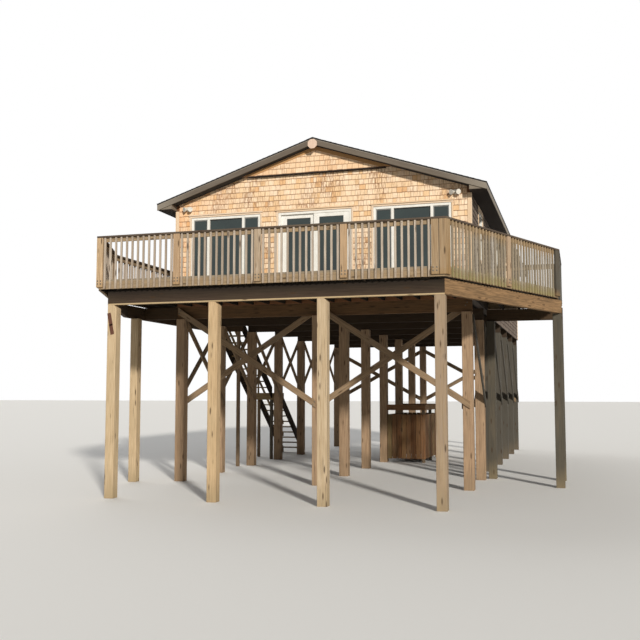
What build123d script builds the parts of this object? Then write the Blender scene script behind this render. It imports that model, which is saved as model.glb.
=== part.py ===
from build123d import *
import math
import os

# A raised beach house on timber pilings, in millimetres.
# X runs along the front, Y runs back, Z is up, and X = 0 is under the ridge.
# The origin is the centre of the foot of the middle piling in the house's front row.
# Z = 0 is the lowest ground under a piling, and every leg runs down to it.

# House body
house_width = 7316
house_length = 14630
wall = 140
floor_top = 4500
floor_board = 38
siding_foot = 4170
roof_slope = 4 / 12
eave_reach = 362
rake_reach = 300
eave_top = 6840
roof_depth = 150
gable_panel_foot = 7420
gable_panel_proud = 90

# Framing under the floors
joist_depth = 184
joist_width = 38
joist_pitch = 406
joist_start = 120
girder_depth = 298
girder_width = 114
house_piling = 230
piling_bays = 6
piling_inset = 20
deck_piling = 200

# Deck plan, measured to the outer face of the rim
deck_left_inset = 18
deck_right_inset = 65
deck_depth = 3620
side_deck_width = 1839
side_deck_start = 808
side_deck_end = 3130
walkway_length = 4556
rim_width = 38
rim_depth = 160

# Deck beams and pilings
front_beam_inset = 110
left_beam_inset = 156
right_piling_inset = 29
far_piling_proud = 58
back_piling_inset = 110
walkway_piling_place = 325
walkway_post_place = 2300
beam_width = 100
beam_bearing = 30
piling_chamfer = 60

# Railing
rail_height = 916
cap_width = 140
cap_thick = 38
cap_overhang = 14
sub_rail_depth = 89
baluster = 38
baluster_pitch = 127
baluster_drop = 200
baluster_slant = 14
post_width = 140
post_proud = 8
post_lift = 40
post_gap = 12
front_bays = 4
walkway_bays = 3
left_post_gap = 30
diagonal_post_place = 2440
front_corner_face = 100
angled_corner_face = 125
far_corner_face = 180
side_corner_face = 150

# Front glazing
wall_piers = (409, 457, 523, 437)
unit_height = 1990
frame_face = 62
frame_depth = 110
side_light = 362
sash_face = 20
sash_depth = 34
sash_setback = 20
stile_face = 140
panel_rail = 90
panel_lap = 50
panel_depth = 42
panel_setback = 12
glass_thick = 18
casing_face = 40
casing_thick = 22
drip_thick = 28
drip_reach = 26

# Plain windows and the entry door
window_width = 860
window_height = 1180
window_sill = 900
entry_width = 914
entry_height = 2040
entry_inset = 650
entry_stile = 115
entry_rail = 180
entry_depth = 60
entry_panel = 24
entry_lock_height = 950
window_bays = (1900, 6300, 9200, 12200)
rear_window_places = (-2300, 0, 2300)

# Roof trim
fascia_thick = 22
rake_board = 165
soffit_thick = 12
ridge_cap_reach = 150
ridge_cap_thick = 8
medallion_width = 225
medallion_thick = 24
medallion_drop = 75
corner_board = 76
corner_thick = 20

# Bracing, nailed flat against the pilings
brace_width = 140
brace_thick = 38
brace_foot = 1880
brace_drop = 140
front_brace_drop = 100
brace_end = 60
brace_lap = 10

# Stair along the left side of the house
stair_width = 850
stair_gap = 90
riser_count_upper = 12
riser_count_lower = 11
tread_run = 254
tread_depth = 245
tread_thick = 38
stringer_depth = 286
stringer_thick = 38
stringer_nose = 10
stair_mid_landing = 960
stair_post = 89
stair_post_inset = 10
guard_height = 860
guard_middle = 430
guard_board = 89
guard_thick = 38
guard_drop = 250
guard_rise = 70

# Board enclosure under the house, between two pilings of the middle row
enclosure_right = 1300
enclosure_height = 1790
enclosure_board = 140
enclosure_top_board = 175
enclosure_gap = 10
enclosure_thick = 20
enclosure_post = 89
enclosure_rail = 38
enclosure_foot = 120
enclosure_slot = 130
enclosure_rail_low = 270
enclosure_rail_high = 1350

# Flood lights
flood_inset = 343
flood_clear = 95
flood_base = 28
lamp_radius = 60
lamp_neck = 18
lamp_length = 120
lamp_shift = 16

joint_gap = 1
seat = 0.3

# Worked out from the sizes above
half_width = house_width / 2
roof_half = half_width + eave_reach
ridge_z = eave_top + roof_half * roof_slope
joist_top = floor_top - floor_board
joist_foot = joist_top - joist_depth
girder_foot = joist_foot - girder_depth
cap_top = floor_top + rail_height
cap_foot = cap_top - cap_thick
baluster_foot = floor_top - baluster_drop
post_foot = baluster_foot + post_lift
row_pitch = (house_length - 2 * piling_inset - house_piling) / piling_bays
row_places = [piling_inset + house_piling / 2 + row_pitch * i for i in range(piling_bays + 1)]
column_reach = half_width - piling_inset - house_piling / 2
column_places = [-column_reach, 0, column_reach]
deck_left = half_width - deck_left_inset
deck_right = half_width - deck_right_inset
side_deck_reach = half_width + side_deck_width
stair_right = -half_width - stair_gap
stair_left = stair_right - stair_width
entry_place = walkway_length - entry_inset
unit_width = (house_width - sum(wall_piers)) / 3
unit_places = [sum(wall_piers[:n + 1]) + unit_width * (n + 0.5) - half_width for n in range(3)]
left_unit_place, door_place, right_unit_place = unit_places

# Setting-out planes, all from the outer face of the front wall
wall_line = -row_places[0]
plan = Plane(origin=(0, wall_line, 0), x_dir=(1, 0, 0), z_dir=(0, 0, 1))
front_face = Plane(origin=(0, wall_line, 0), x_dir=(1, 0, 0), z_dir=(0, -1, 0))
side_face = Plane(origin=(0, wall_line, 0), x_dir=(0, 1, 0), z_dir=(1, 0, 0))


def roof_top(x):
    """Height of the roof's top face at a distance x from the ridge."""
    return ridge_z - abs(x) * roof_slope


def roof_foot(x):
    """Height of the roof's underside at a distance x from the ridge."""
    return roof_top(x) - roof_depth


pieces = {}

# The deck's plan line, from the head of the stair on the left round to the right side of the house.
# Both diagonals lean alike, by the same step sideways for each step back.
lean = (side_deck_reach - deck_right) / (side_deck_start + deck_depth)
walkway_turn = (-stair_left - deck_left) / lean - deck_depth
deck_line = [
    Vector(stair_left, walkway_length),
    Vector(stair_left, walkway_turn),
    Vector(-deck_left, -deck_depth),
    Vector(deck_right, -deck_depth),
    Vector(side_deck_reach, side_deck_start),
    Vector(side_deck_reach, side_deck_end),
    Vector(half_width, side_deck_end),
]
all_runs = range(len(deck_line) - 1)
walkway_run, left_run, front_run, right_run, side_run, back_run = all_runs


def along(i, line=deck_line):
    """Unit vector along run i of a plan line."""
    return (line[i + 1] - line[i]).normalized()


def outward(i, line=deck_line):
    """Unit vector that points out of the deck across run i."""
    return Vector(along(i, line).Y, -along(i, line).X)


def run_length(i):
    return (deck_line[i + 1] - deck_line[i]).length


def line_point(i, reach, line=deck_line):
    """Corner i of a plan line moved out by reach, kept square or mitred to its runs."""
    here = line[i]
    if i == 0:
        return here + outward(0, line) * reach
    if i == len(line) - 1:
        return here + outward(i - 1, line) * reach
    middle = (outward(i - 1, line) + outward(i, line)).normalized()
    return here + middle * (reach / middle.dot(outward(i, line)))


def mitred(i, inner, outer, line=deck_line):
    """Outline of the board along run i of a plan line, mitred to the runs beside it."""
    gap = along(i, line) * (joint_gap / 2)
    return [
        line_point(i, inner, line) + gap,
        line_point(i + 1, inner, line) - gap,
        line_point(i + 1, outer, line) - gap,
        line_point(i, outer, line) + gap,
    ]


def flat(points):
    return [(p.X, p.Y) for p in points]


def strips(inner, outer, foot, height):
    """Boards that follow every run of the deck line, mitred where they meet."""
    with BuildPart() as boards:
        for i in all_runs:
            with BuildSketch(plan.offset(foot)):
                with BuildLine():
                    Polyline(*flat(mitred(i, inner, outer)), close=True)
                make_face()
            extrude(amount=height)
    return boards


# Outer faces of the beams under the deck, from the head of the stair round to the far piling
half_piling = deck_piling / 2
beam_left = -deck_left + left_beam_inset
beam_right = deck_right - right_piling_inset
beam_front = -deck_depth + front_beam_inset
walkway_beam_x = stair_left - far_piling_proud
far_x = side_deck_reach + far_piling_proud
beam_end = Vector(far_x, beam_front + (far_x - beam_right) / lean)
beam_line = [
    Vector(walkway_beam_x, walkway_length),
    Vector(walkway_beam_x, beam_front + (beam_left - walkway_beam_x) / lean),
    Vector(beam_left, beam_front),
    Vector(beam_right, beam_front),
    beam_end + along(right_run) * beam_bearing,
]

# Deck pilings, named from the left end of the front row; three of them have a cut corner
left_piling_x = beam_left + half_piling
right_piling_x = beam_right - half_piling
front_piling_y = beam_front + half_piling
front_spacing = (right_piling_x - left_piling_x) / 3
far_piling_x = far_x - half_piling
back_piling_y = side_deck_end - back_piling_inset - half_piling
house_side_piling_x = half_width + corner_thick + half_piling

with BuildPart() as deck_pilings:
    for n in range(3):
        x = left_piling_x + front_spacing * n
        with BuildSketch(front_face.offset(-beam_front)):
            with BuildLine():
                Polyline(
                    (x - half_piling, 0),
                    (x + half_piling, 0),
                    (x + half_piling, girder_foot - piling_chamfer),
                    (x + half_piling - piling_chamfer, girder_foot),
                    (x - half_piling, girder_foot),
                    close=True,
                )
            make_face()
        extrude(amount=-deck_piling)
    with BuildSketch(plan):
        with Locations(
            (right_piling_x, front_piling_y),
            (walkway_beam_x + half_piling, -walkway_piling_place),
            (far_piling_x, beam_end.Y + half_piling),
            (far_piling_x, back_piling_y),
            (house_side_piling_x, back_piling_y),
        ):
            Rectangle(deck_piling, deck_piling)
    extrude(amount=girder_foot)
pieces["deck_pilings"] = deck_pilings

with BuildPart() as house_pilings:
    with BuildSketch(plan):
        with Locations(*[(x, y) for x in column_places for y in row_places]):
            Rectangle(house_piling, house_piling)
    extrude(amount=girder_foot)
pieces["house_pilings"] = house_pilings


def box_outline(left, right, front, back):
    return [Vector(left, front), Vector(right, front), Vector(right, back), Vector(left, back)]


# Beams: mitred ones round the deck, one under the back of the side deck, and cross beams that carry
# the walkway, two in line with the house's first girders and one at the head of the stair
girder_end = half_width - piling_inset
walkway_beam_inner = walkway_beam_x + beam_width + seat
back_beam_y = back_piling_y + half_piling - beam_width
beam_outlines = [mitred(i, -beam_width, 0, beam_line) for i in range(len(beam_line) - 1)]
beam_outlines += [
    box_outline(house_side_piling_x - half_piling, far_x, back_beam_y, back_beam_y + beam_width),
    box_outline(walkway_beam_inner, -half_width - seat, walkway_length - beam_width, walkway_length),
]
for y in row_places[:2]:
    girder_line = (y - girder_width / 2, y + girder_width / 2)
    beam_outlines.append(box_outline(walkway_beam_inner, -girder_end - seat, *girder_line))
with BuildPart() as deck_beams:
    with BuildSketch(plan.offset(girder_foot)):
        for outline in beam_outlines:
            with BuildLine():
                Polyline(*flat(outline), close=True)
            make_face()
    extrude(amount=girder_depth)
pieces["deck_beams"] = deck_beams

with BuildPart() as house_girders:
    with BuildSketch(plan.offset(girder_foot)):
        with Locations(*[(0, y) for y in row_places]):
            Rectangle(2 * girder_end, girder_width)
    extrude(amount=girder_depth)
pieces["house_girders"] = house_girders

# Deck framing and floor
pieces["deck_rim"] = strips(-rim_width, 0, joist_top - rim_depth, rim_depth)

joist_clear = rim_width + seat
joist_count = int((side_deck_reach - stair_left - 2 * rim_width) / joist_pitch)
joist_back = max(walkway_length, side_deck_end)
joist_outline = [line_point(i, -joist_clear) for i in range(len(deck_line) - 1)]
joist_outline += [
    Vector(half_width + seat, joist_outline[-1].Y),
    Vector(half_width + seat, -seat),
    Vector(-half_width - seat, -seat),
    Vector(-half_width - seat, walkway_length),
]
with BuildPart() as deck_joists:
    with BuildSketch(plan.offset(joist_foot)):
        with BuildLine():
            Polyline(*flat(joist_outline), close=True)
        make_face()
    extrude(amount=joist_depth)
    with BuildSketch(plan.offset(joist_foot)):
        for i in range(joist_count + 1):
            x = stair_left + rim_width + joist_start + joist_pitch * i
            with Locations((x, (joist_back - deck_depth) / 2)):
                Rectangle(joist_width, joist_back + deck_depth)
    extrude(amount=joist_depth, mode=Mode.INTERSECT)
pieces["deck_joists"] = deck_joists

wall_crossing = deck_line[right_run] + along(right_run) * (deck_depth / along(right_run).Y)
floor_outlines = (
    [Vector(stair_left, 0), *deck_line[left_run:right_run + 1], wall_crossing],
    [Vector(half_width, seat), wall_crossing + along(right_run) * seat, *deck_line[side_run:]],
    box_outline(stair_left, -half_width - seat, seat, walkway_length),
)
with BuildPart() as deck_floor:
    with BuildSketch(plan.offset(joist_top)):
        for outline in floor_outlines:
            with BuildLine():
                Polyline(*flat(outline), close=True)
            make_face()
    extrude(amount=floor_board)
pieces["deck_floor"] = deck_floor


# Railing
def evenly(first, last, bays):
    return [first + (last - first) * n / bays for n in range(bays + 1)]


half_post = post_width / 2
walkway_post_last = run_length(walkway_run) - side_corner_face / 2
front_post_last = run_length(front_run) - front_corner_face - post_gap - half_post
post_places = [
    evenly(half_post, walkway_post_last, walkway_bays)[:-1],
    [run_length(left_run) - left_post_gap - half_post],
    evenly(half_post - baluster - seat, front_post_last, front_bays),
    [diagonal_post_place],
    [run_length(side_run) - half_post],
    [half_post, run_length(back_run) - half_post],
]

# Corners of the deck line with a boxed corner piece, and its length along the runs before and after
boxed_corners = (
    (left_run, side_corner_face, angled_corner_face),
    (right_run, front_corner_face, angled_corner_face),
    (side_run, far_corner_face, side_corner_face),
)
corner_spans = [[] for _ in all_runs]
for i, before, after in boxed_corners:
    corner_spans[i - 1].append((run_length(i - 1) - before, run_length(i - 1)))
    corner_spans[i].append((0, after))


def face_plane(i, place, height):
    """Plane on the outer face of run i, its X along the run, its Z pointing out of the deck."""
    spot = deck_line[i] + along(i) * place
    return Plane(origin=(spot.X, spot.Y + wall_line, height), x_dir=(along(i).X, along(i).Y, 0),
                 z_dir=(outward(i).X, outward(i).Y, 0))


def section_plane(i, place, height):
    """Plane across run i, its X pointing out of the deck and its Y up."""
    spot = deck_line[i] + along(i) * place
    return Plane(origin=(spot.X, spot.Y + wall_line, height), x_dir=(outward(i).X, outward(i).Y, 0),
                 z_dir=(-along(i).X, -along(i).Y, 0))


def baluster_places(i):
    """Centres of the pickets of run i, at an even pitch centred between its posts."""
    spans = sorted([(p - half_post, p + half_post) for p in post_places[i]] + corner_spans[i])
    places = []
    for (_, start), (end, _) in zip(spans, spans[1:]):
        clear = end - start
        count = int((clear - baluster) / baluster_pitch)
        if i == front_run and count > 0:
            count += 1
        first = (start + end - (count - 1) * baluster_pitch) / 2
        places += [first + n * baluster_pitch for n in range(count)]
    return places


def balusters(*runs):
    """Square pickets nailed outside the rim, each with a slanted foot."""
    with BuildPart() as pickets:
        for i in runs:
            for place in baluster_places(i):
                with BuildSketch(section_plane(i, place - baluster / 2, baluster_foot)):
                    with BuildLine():
                        Polyline(
                            (0, baluster_slant),
                            (0, cap_foot - baluster_foot),
                            (baluster, cap_foot - baluster_foot),
                            (baluster, 0),
                            close=True,
                        )
                    make_face()
                extrude(amount=-baluster)
    return pickets


pieces["left_balusters"] = balusters(walkway_run, left_run)
pieces["front_balusters"] = balusters(front_run)
pieces["diagonal_balusters"] = balusters(right_run)
pieces["side_balusters"] = balusters(side_run, back_run)

post_reach = baluster + post_proud
with BuildPart() as railing_posts:
    for i in all_runs:
        for place in post_places[i]:
            with BuildSketch(face_plane(i, place, post_foot)):
                with Locations((0, (cap_foot - post_foot) / 2)):
                    Rectangle(post_width, cap_foot - post_foot)
            extrude(amount=post_reach)
pieces["railing_posts"] = railing_posts

# Boards that wrap the blunt corners of the railing and meet in a mitre
with BuildPart() as corner_posts:
    for i, before, after in boxed_corners:
        inner = deck_line[i]
        outer = line_point(i, post_reach)
        for run, length in ((i - 1, -before), (i, after)):
            mitre = along(run) * (seat if run == i else -seat)
            end = inner + along(run) * length
            outline = [inner + mitre, outer + mitre, end + outward(run) * post_reach, end]
            with BuildSketch(plan.offset(post_foot)):
                with BuildLine():
                    Polyline(*flat(outline), close=True)
                make_face()
            extrude(amount=cap_foot - post_foot)
pieces["corner_posts"] = corner_posts

pieces["top_rails"] = strips(-rim_width, 0, cap_foot - sub_rail_depth, sub_rail_depth)
cap_outer = baluster + cap_overhang
pieces["rail_caps"] = strips(cap_outer - cap_width, cap_outer, cap_foot, cap_thick)

# House floor
house_joist_count = int((house_width - 2 * wall) / joist_pitch)
with BuildPart() as house_joists:
    with BuildSketch(plan.offset(joist_foot)):
        with Locations((0, house_length / 2)):
            with GridLocations(joist_pitch, 0, house_joist_count, 1):
                Rectangle(joist_width, house_length - 2 * wall)
    extrude(amount=joist_depth)
pieces["house_joists"] = house_joists

with BuildPart() as house_floor:
    with BuildSketch(plan.offset(joist_top)):
        with Locations((0, house_length / 2)):
            Rectangle(house_width - 2 * wall, house_length - 2 * wall)
    extrude(amount=floor_board)
pieces["house_floor"] = house_floor


# Walls
def gable(y, depth, foot, openings):
    """End wall with its top along the underside of the roof, and its openings cut through."""
    with BuildPart() as end_wall:
        with BuildSketch(front_face.offset(-y)):
            with BuildLine():
                Polyline(
                    (-half_width, foot),
                    (half_width, foot),
                    (half_width, roof_foot(half_width)),
                    (0, roof_foot(0)),
                    (-half_width, roof_foot(half_width)),
                    close=True,
                )
            make_face()
            for centre, sill, width, height in openings:
                with Locations((centre, sill + height / 2)):
                    Rectangle(width, height, mode=Mode.SUBTRACT)
        extrude(amount=-depth)
    return end_wall


unit_head = floor_top + unit_height
window_foot = floor_top + window_sill
front_openings = [(c, floor_top, unit_width, unit_height) for c in unit_places]
rear_openings = [(c, window_foot, window_width, window_height) for c in rear_window_places]
pieces["front_wall"] = gable(0, wall, joist_foot, front_openings)
pieces["rear_wall"] = gable(house_length - wall, wall, joist_foot, rear_openings)


def side_wall(side, openings):
    """Side wall between the end walls, its top cut to the slope of the roof."""
    outer = side * half_width
    inner = side * (half_width - wall)
    with BuildPart() as long_wall:
        with BuildSketch(front_face.offset(-wall)):
            with BuildLine():
                Polyline(
                    (outer, joist_foot),
                    (outer, roof_foot(outer)),
                    (inner, roof_foot(inner)),
                    (inner, joist_foot),
                    close=True,
                )
            make_face()
        extrude(amount=-(house_length - 2 * wall))
        with BuildSketch(side_face.offset(outer)):
            for centre, sill, width, height in openings:
                with Locations((centre, sill + height / 2)):
                    Rectangle(width, height)
        extrude(amount=-side * wall, mode=Mode.SUBTRACT)
    return long_wall


right_openings = [(y, window_foot, window_width, window_height) for y in window_bays]
entry_opening = (entry_place, floor_top, entry_width, entry_height)
pieces["left_wall"] = side_wall(-1, right_openings + [entry_opening])
pieces["right_wall"] = side_wall(1, right_openings)

# Shingled upper gable, which stands proud of the wall below it
panel_half = (roof_foot(0) - gable_panel_foot) / roof_slope
with BuildPart() as gable_panel:
    with BuildSketch(front_face):
        with BuildLine():
            Polyline(
                (-panel_half, gable_panel_foot),
                (panel_half, gable_panel_foot),
                (0, roof_foot(0)),
                close=True,
            )
        make_face()
    extrude(amount=gable_panel_proud)
pieces["gable_panel"] = gable_panel


# Roof
def roof_half_slab(side):
    """One slope of the roof, plumb at the ridge and at the eave."""
    with BuildPart() as slab:
        with BuildSketch(front_face.offset(rake_reach)):
            with BuildLine():
                Polyline(
                    (0, roof_top(0)),
                    (side * roof_half, roof_top(roof_half)),
                    (side * roof_half, roof_foot(roof_half)),
                    (0, roof_foot(0)),
                    close=True,
                )
            make_face()
        extrude(amount=-(house_length + 2 * rake_reach))
    return slab


pieces["left_roof"] = roof_half_slab(-1)
pieces["right_roof"] = roof_half_slab(1)

with BuildPart() as ridge_cap:
    for side in (-1, 1):
        with BuildSketch(front_face.offset(rake_reach + fascia_thick)):
            with BuildLine():
                Polyline(
                    (side * seat, roof_top(seat)),
                    (side * ridge_cap_reach, roof_top(ridge_cap_reach)),
                    (side * ridge_cap_reach, roof_top(ridge_cap_reach) + ridge_cap_thick),
                    (side * seat, roof_top(seat) + ridge_cap_thick),
                    close=True,
                )
            make_face()
        extrude(amount=-(house_length + 2 * rake_reach + 2 * fascia_thick))
pieces["ridge_cap"] = ridge_cap

# Sloping fascia boards on both gables, mitred at the ridge and plumb at the eaves
board_end = roof_half + fascia_thick
with BuildPart() as rake_boards:
    for side in (-1, 1):
        for y, facing in ((-rake_reach, 1), (house_length + rake_reach, -1)):
            with BuildSketch(front_face.offset(-y)):
                with BuildLine():
                    Polyline(
                        (side * seat, roof_top(seat)),
                        (side * board_end, roof_top(board_end)),
                        (side * board_end, roof_top(board_end) - rake_board),
                        (side * seat, roof_top(seat) - rake_board),
                        close=True,
                    )
                make_face()
            extrude(amount=facing * fascia_thick)
pieces["rake_boards"] = rake_boards

eave_foot = roof_foot(roof_half)
with BuildPart() as eave_fascias:
    for side in (-1, 1):
        with BuildSketch(front_face.offset(rake_reach)):
            with BuildLine():
                Polyline(
                    (side * roof_half, roof_top(roof_half)),
                    (side * board_end, roof_top(board_end)),
                    (side * board_end, eave_foot),
                    (side * roof_half, eave_foot),
                    close=True,
                )
            make_face()
        extrude(amount=-(house_length + 2 * rake_reach))
pieces["eave_fascias"] = eave_fascias

# Level soffits under the eaves, with a boxed return at each gable
with BuildPart() as soffits:
    for side in (-1, 1):
        with BuildSketch(plan.offset(eave_foot - soffit_thick)):
            with Locations((side * (half_width + board_end) / 2, house_length / 2)):
                Rectangle(board_end - half_width, house_length + 2 * rake_reach)
        extrude(amount=soffit_thick)
pieces["soffits"] = soffits

with BuildPart() as eave_returns:
    for side in (-1, 1):
        for y in (-rake_reach, house_length):
            with BuildSketch(front_face.offset(-y)):
                with BuildLine():
                    Polyline(
                        (side * half_width, eave_foot),
                        (side * roof_half, eave_foot),
                        (side * half_width, roof_foot(half_width)),
                        close=True,
                    )
                make_face()
            extrude(amount=-rake_reach)
pieces["eave_returns"] = eave_returns

with BuildPart() as apex_medallion:
    with BuildSketch(front_face.offset(rake_reach + fascia_thick)):
        with Locations((0, ridge_z - rake_board / 2 - medallion_drop)):
            RegularPolygon(medallion_width / 2, 8, major_radius=False, rotation=22.5)
    extrude(amount=medallion_thick)
pieces["apex_medallion"] = apex_medallion

# Corner boards on the shingles, one on each face of a corner
corner_head = eave_foot - soffit_thick
with BuildPart() as corner_boards:
    for side in (-1, 1):
        for y, facing, foot in ((0, -1, floor_top), (house_length, 1, siding_foot)):
            with BuildSketch(plan.offset(foot)):
                with Locations((side * (half_width - corner_board / 2), y + facing * corner_thick / 2)):
                    Rectangle(corner_board, corner_thick)
                depth = corner_board + corner_thick
                middle = y + facing * (corner_thick - depth / 2)
                with Locations((side * (half_width + corner_thick / 2), middle)):
                    Rectangle(corner_thick - 2 * seat, depth)
            extrude(amount=corner_head - foot)
pieces["corner_boards"] = corner_boards


# Windows and doors
def frame_members(plane, centre, foot, width, height, stile, rail, depth, uprights=(), crosses=()):
    """Upright stiles, with the head, sill and cross rails fitted between them."""
    stiles = sorted([-(width - stile) / 2, (width - stile) / 2, *uprights])
    with BuildSketch(plane) as outline:
        for x in stiles:
            with Locations((centre + x, foot + height / 2)):
                Rectangle(stile, height)
        for left, right in zip(stiles, stiles[1:]):
            for z in (rail / 2, *crosses, height - rail / 2):
                with Locations((centre + (left + right) / 2, foot + z)):
                    Rectangle(right - left - stile - 2 * seat, rail)
    extrude(outline.sketch, amount=depth)


def pane(plane, centre, foot, width, height):
    """Sheet of glass that fills a light."""
    with BuildSketch(plane) as outline:
        with Locations((centre, foot + height / 2)):
            Rectangle(width - 2 * seat, height - 2 * seat)
    extrude(outline.sketch, amount=-glass_thick)


# Timber surround of each front unit, with a drip cap along its head
with BuildPart() as front_casings:
    for centre in unit_places:
        with BuildSketch(front_face):
            for side in (-1, 1):
                with Locations((centre + side * (unit_width + casing_face) / 2, floor_top + unit_height / 2)):
                    Rectangle(casing_face, unit_height - 2 * seat)
            with Locations((centre, unit_head + casing_face / 2)):
                Rectangle(unit_width + 2 * casing_face, casing_face)
        extrude(amount=casing_thick)
        with BuildSketch(front_face):
            with Locations((centre, unit_head + casing_face + seat + drip_thick / 2)):
                Rectangle(unit_width + 2 * casing_face + 2 * drip_reach, drip_thick)
        extrude(amount=casing_thick + drip_reach)
pieces["front_casings"] = front_casings

light_place = unit_width / 2 - frame_face - side_light / 2
mullion_place = light_place - side_light / 2 - frame_face / 2
light_foot = floor_top + frame_face
light_height = unit_height - 2 * frame_face
middle_light = 2 * mullion_place - frame_face
frame_plane = front_face.offset(-seat)
sash_plane = front_face.offset(-sash_setback)
glass_plane = front_face.offset(-frame_depth / 2)

with BuildPart() as front_window_frames:
    for centre in (left_unit_place, right_unit_place):
        frame_members(frame_plane, centre, floor_top, unit_width, unit_height, frame_face, frame_face,
                      -frame_depth, uprights=(-mullion_place, mullion_place))
pieces["front_window_frames"] = front_window_frames

with BuildPart() as window_sashes:
    for centre in (left_unit_place, right_unit_place):
        for side in (-1, 1):
            frame_members(sash_plane, centre + side * light_place, light_foot + seat, side_light - 2 * seat,
                          light_height - 2 * seat, sash_face, sash_face, -sash_depth)
pieces["window_sashes"] = window_sashes

with BuildPart() as front_window_glass:
    for centre in (left_unit_place, right_unit_place):
        pane(glass_plane, centre, light_foot, middle_light, light_height)
        for side in (-1, 1):
            pane(sash_plane.offset(-(sash_depth - glass_thick) / 2), centre + side * light_place,
                 light_foot + sash_face, side_light - 2 * sash_face, light_height - 2 * sash_face)
pieces["front_window_glass"] = front_window_glass

# Sliding door: the left panel runs behind the right one
door_inner = unit_width - 2 * frame_face
panel_width = (door_inner + panel_lap) / 2
panel_shift = (door_inner - panel_width) / 2
panel_planes = (
    (-1, front_face.offset(-panel_setback - panel_depth - seat)),
    (1, front_face.offset(-panel_setback)),
)

with BuildPart() as door_frame:
    frame_members(frame_plane, door_place, floor_top, unit_width, unit_height, frame_face, frame_face,
                  -frame_depth)
pieces["door_frame"] = door_frame

with BuildPart() as door_panels:
    for side, plane in panel_planes:
        frame_members(plane, door_place + side * (panel_shift - seat), light_foot + seat,
                      panel_width - 2 * seat, light_height - 2 * seat, stile_face, panel_rail, -panel_depth)
pieces["door_panels"] = door_panels

with BuildPart() as door_glass:
    for side, plane in panel_planes:
        pane(plane.offset(-(panel_depth - glass_thick) / 2), door_place + side * (panel_shift - seat),
             light_foot + panel_rail + seat, panel_width - 2 * (stile_face + seat),
             light_height - 2 * (panel_rail + seat))
pieces["door_glass"] = door_glass

# Plain windows of the other walls, with a meeting rail across the middle
pane_height = (window_height - 3 * frame_face) / 2
pane_width = window_width - 2 * frame_face
rear_face = front_face.offset(-house_length)
window_walls = (
    (side_face.offset(-half_width), window_bays, 1),
    (side_face.offset(half_width), window_bays, -1),
    (rear_face, rear_window_places, 1),
)
with BuildPart() as side_window_frames:
    for face, places, inwards in window_walls:
        for place in places:
            frame_members(face.offset(inwards * seat), place, window_foot, window_width, window_height,
                          frame_face, frame_face, inwards * frame_depth, crosses=(window_height / 2,))
pieces["side_window_frames"] = side_window_frames

with BuildPart() as side_window_glass:
    for face, places, inwards in window_walls:
        for place in places:
            for foot in (frame_face, 2 * frame_face + pane_height):
                pane(face.offset(inwards * frame_depth / 2), place, window_foot + foot, pane_width,
                     pane_height)
pieces["side_window_glass"] = side_window_glass

# Side entry door with two panels between its rails
entry_face = side_face.offset(-half_width + seat)
lower_panel = entry_lock_height - 1.5 * entry_rail
upper_panel = entry_height - entry_lock_height - 1.5 * entry_rail
with BuildPart() as entry_door:
    frame_members(entry_face, entry_place, floor_top, entry_width, entry_height, entry_stile, entry_rail,
                  entry_depth, crosses=(entry_lock_height,))
    for foot, height in ((entry_rail, lower_panel), (entry_lock_height + entry_rail / 2, upper_panel)):
        with BuildSketch(entry_face.offset((entry_depth - entry_panel) / 2)):
            with Locations((entry_place, floor_top + foot + height / 2)):
                Rectangle(entry_width - 2 * entry_stile - 2 * seat, height - 2 * seat)
        extrude(amount=entry_panel)
pieces["entry_door"] = entry_door

# Flood lights, each with two lamps on a round base
flood_height = unit_head + casing_face + drip_thick + flood_clear + lamp_radius
with BuildPart() as flood_lights:
    for side in (-1, 1):
        centre = side * (half_width - flood_inset)
        with BuildSketch(front_face):
            with Locations((centre, flood_height)):
                Circle(lamp_radius)
        extrude(amount=flood_base)
        for lean in (-1, 1):
            tilt = Vector(lean * 0.75, -1, -0.25).normalized()
            stand = flood_base + seat + lamp_neck * math.sqrt(1 - tilt.Y ** 2)
            lamp_plane = Plane(origin=(centre + lean * lamp_shift, wall_line - stand, flood_height),
                               z_dir=(tilt.X, tilt.Y, tilt.Z))
            with BuildSketch(lamp_plane):
                Circle(lamp_neck)
            with BuildSketch(lamp_plane.offset(lamp_length)):
                Circle(lamp_radius)
            loft()
pieces["flood_lights"] = flood_lights


# Bracing
def brace(plane, start, end, width, thick):
    """Board from start to end in the given plane, its ends cut plumb."""
    slope = math.atan2(abs(end[1] - start[1]), abs(end[0] - start[0]))
    rise = width / 2 / math.cos(slope)
    with BuildSketch(plane) as outline:
        with BuildLine():
            Polyline(
                (start[0], start[1] - rise),
                (end[0], end[1] - rise),
                (end[0], end[1] + rise),
                (start[0], start[1] + rise),
                close=True,
            )
        make_face()
    extrude(outline.sketch, amount=thick)


brace_head = girder_foot - brace_drop
half_house_piling = house_piling / 2


def row_braces(row, head):
    """Two crossed pairs of boards on the front and back faces of a row of pilings."""
    front = front_face.offset(-(row_places[row] - half_house_piling))
    back = front_face.offset(-(row_places[row] + half_house_piling))
    outer = column_places[-1] + half_house_piling - brace_end
    with BuildPart() as boards:
        for a, b in ((-outer, -brace_lap), (brace_lap, outer)):
            brace(front, (a, head), (b, brace_foot), brace_width, brace_thick)
            brace(back, (a, brace_foot), (b, head), brace_width, -brace_thick)
    return boards


pieces["front_cross_braces"] = row_braces(0, joist_foot - front_brace_drop)
pieces["rear_cross_braces"] = row_braces(piling_bays, brace_head)

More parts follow.
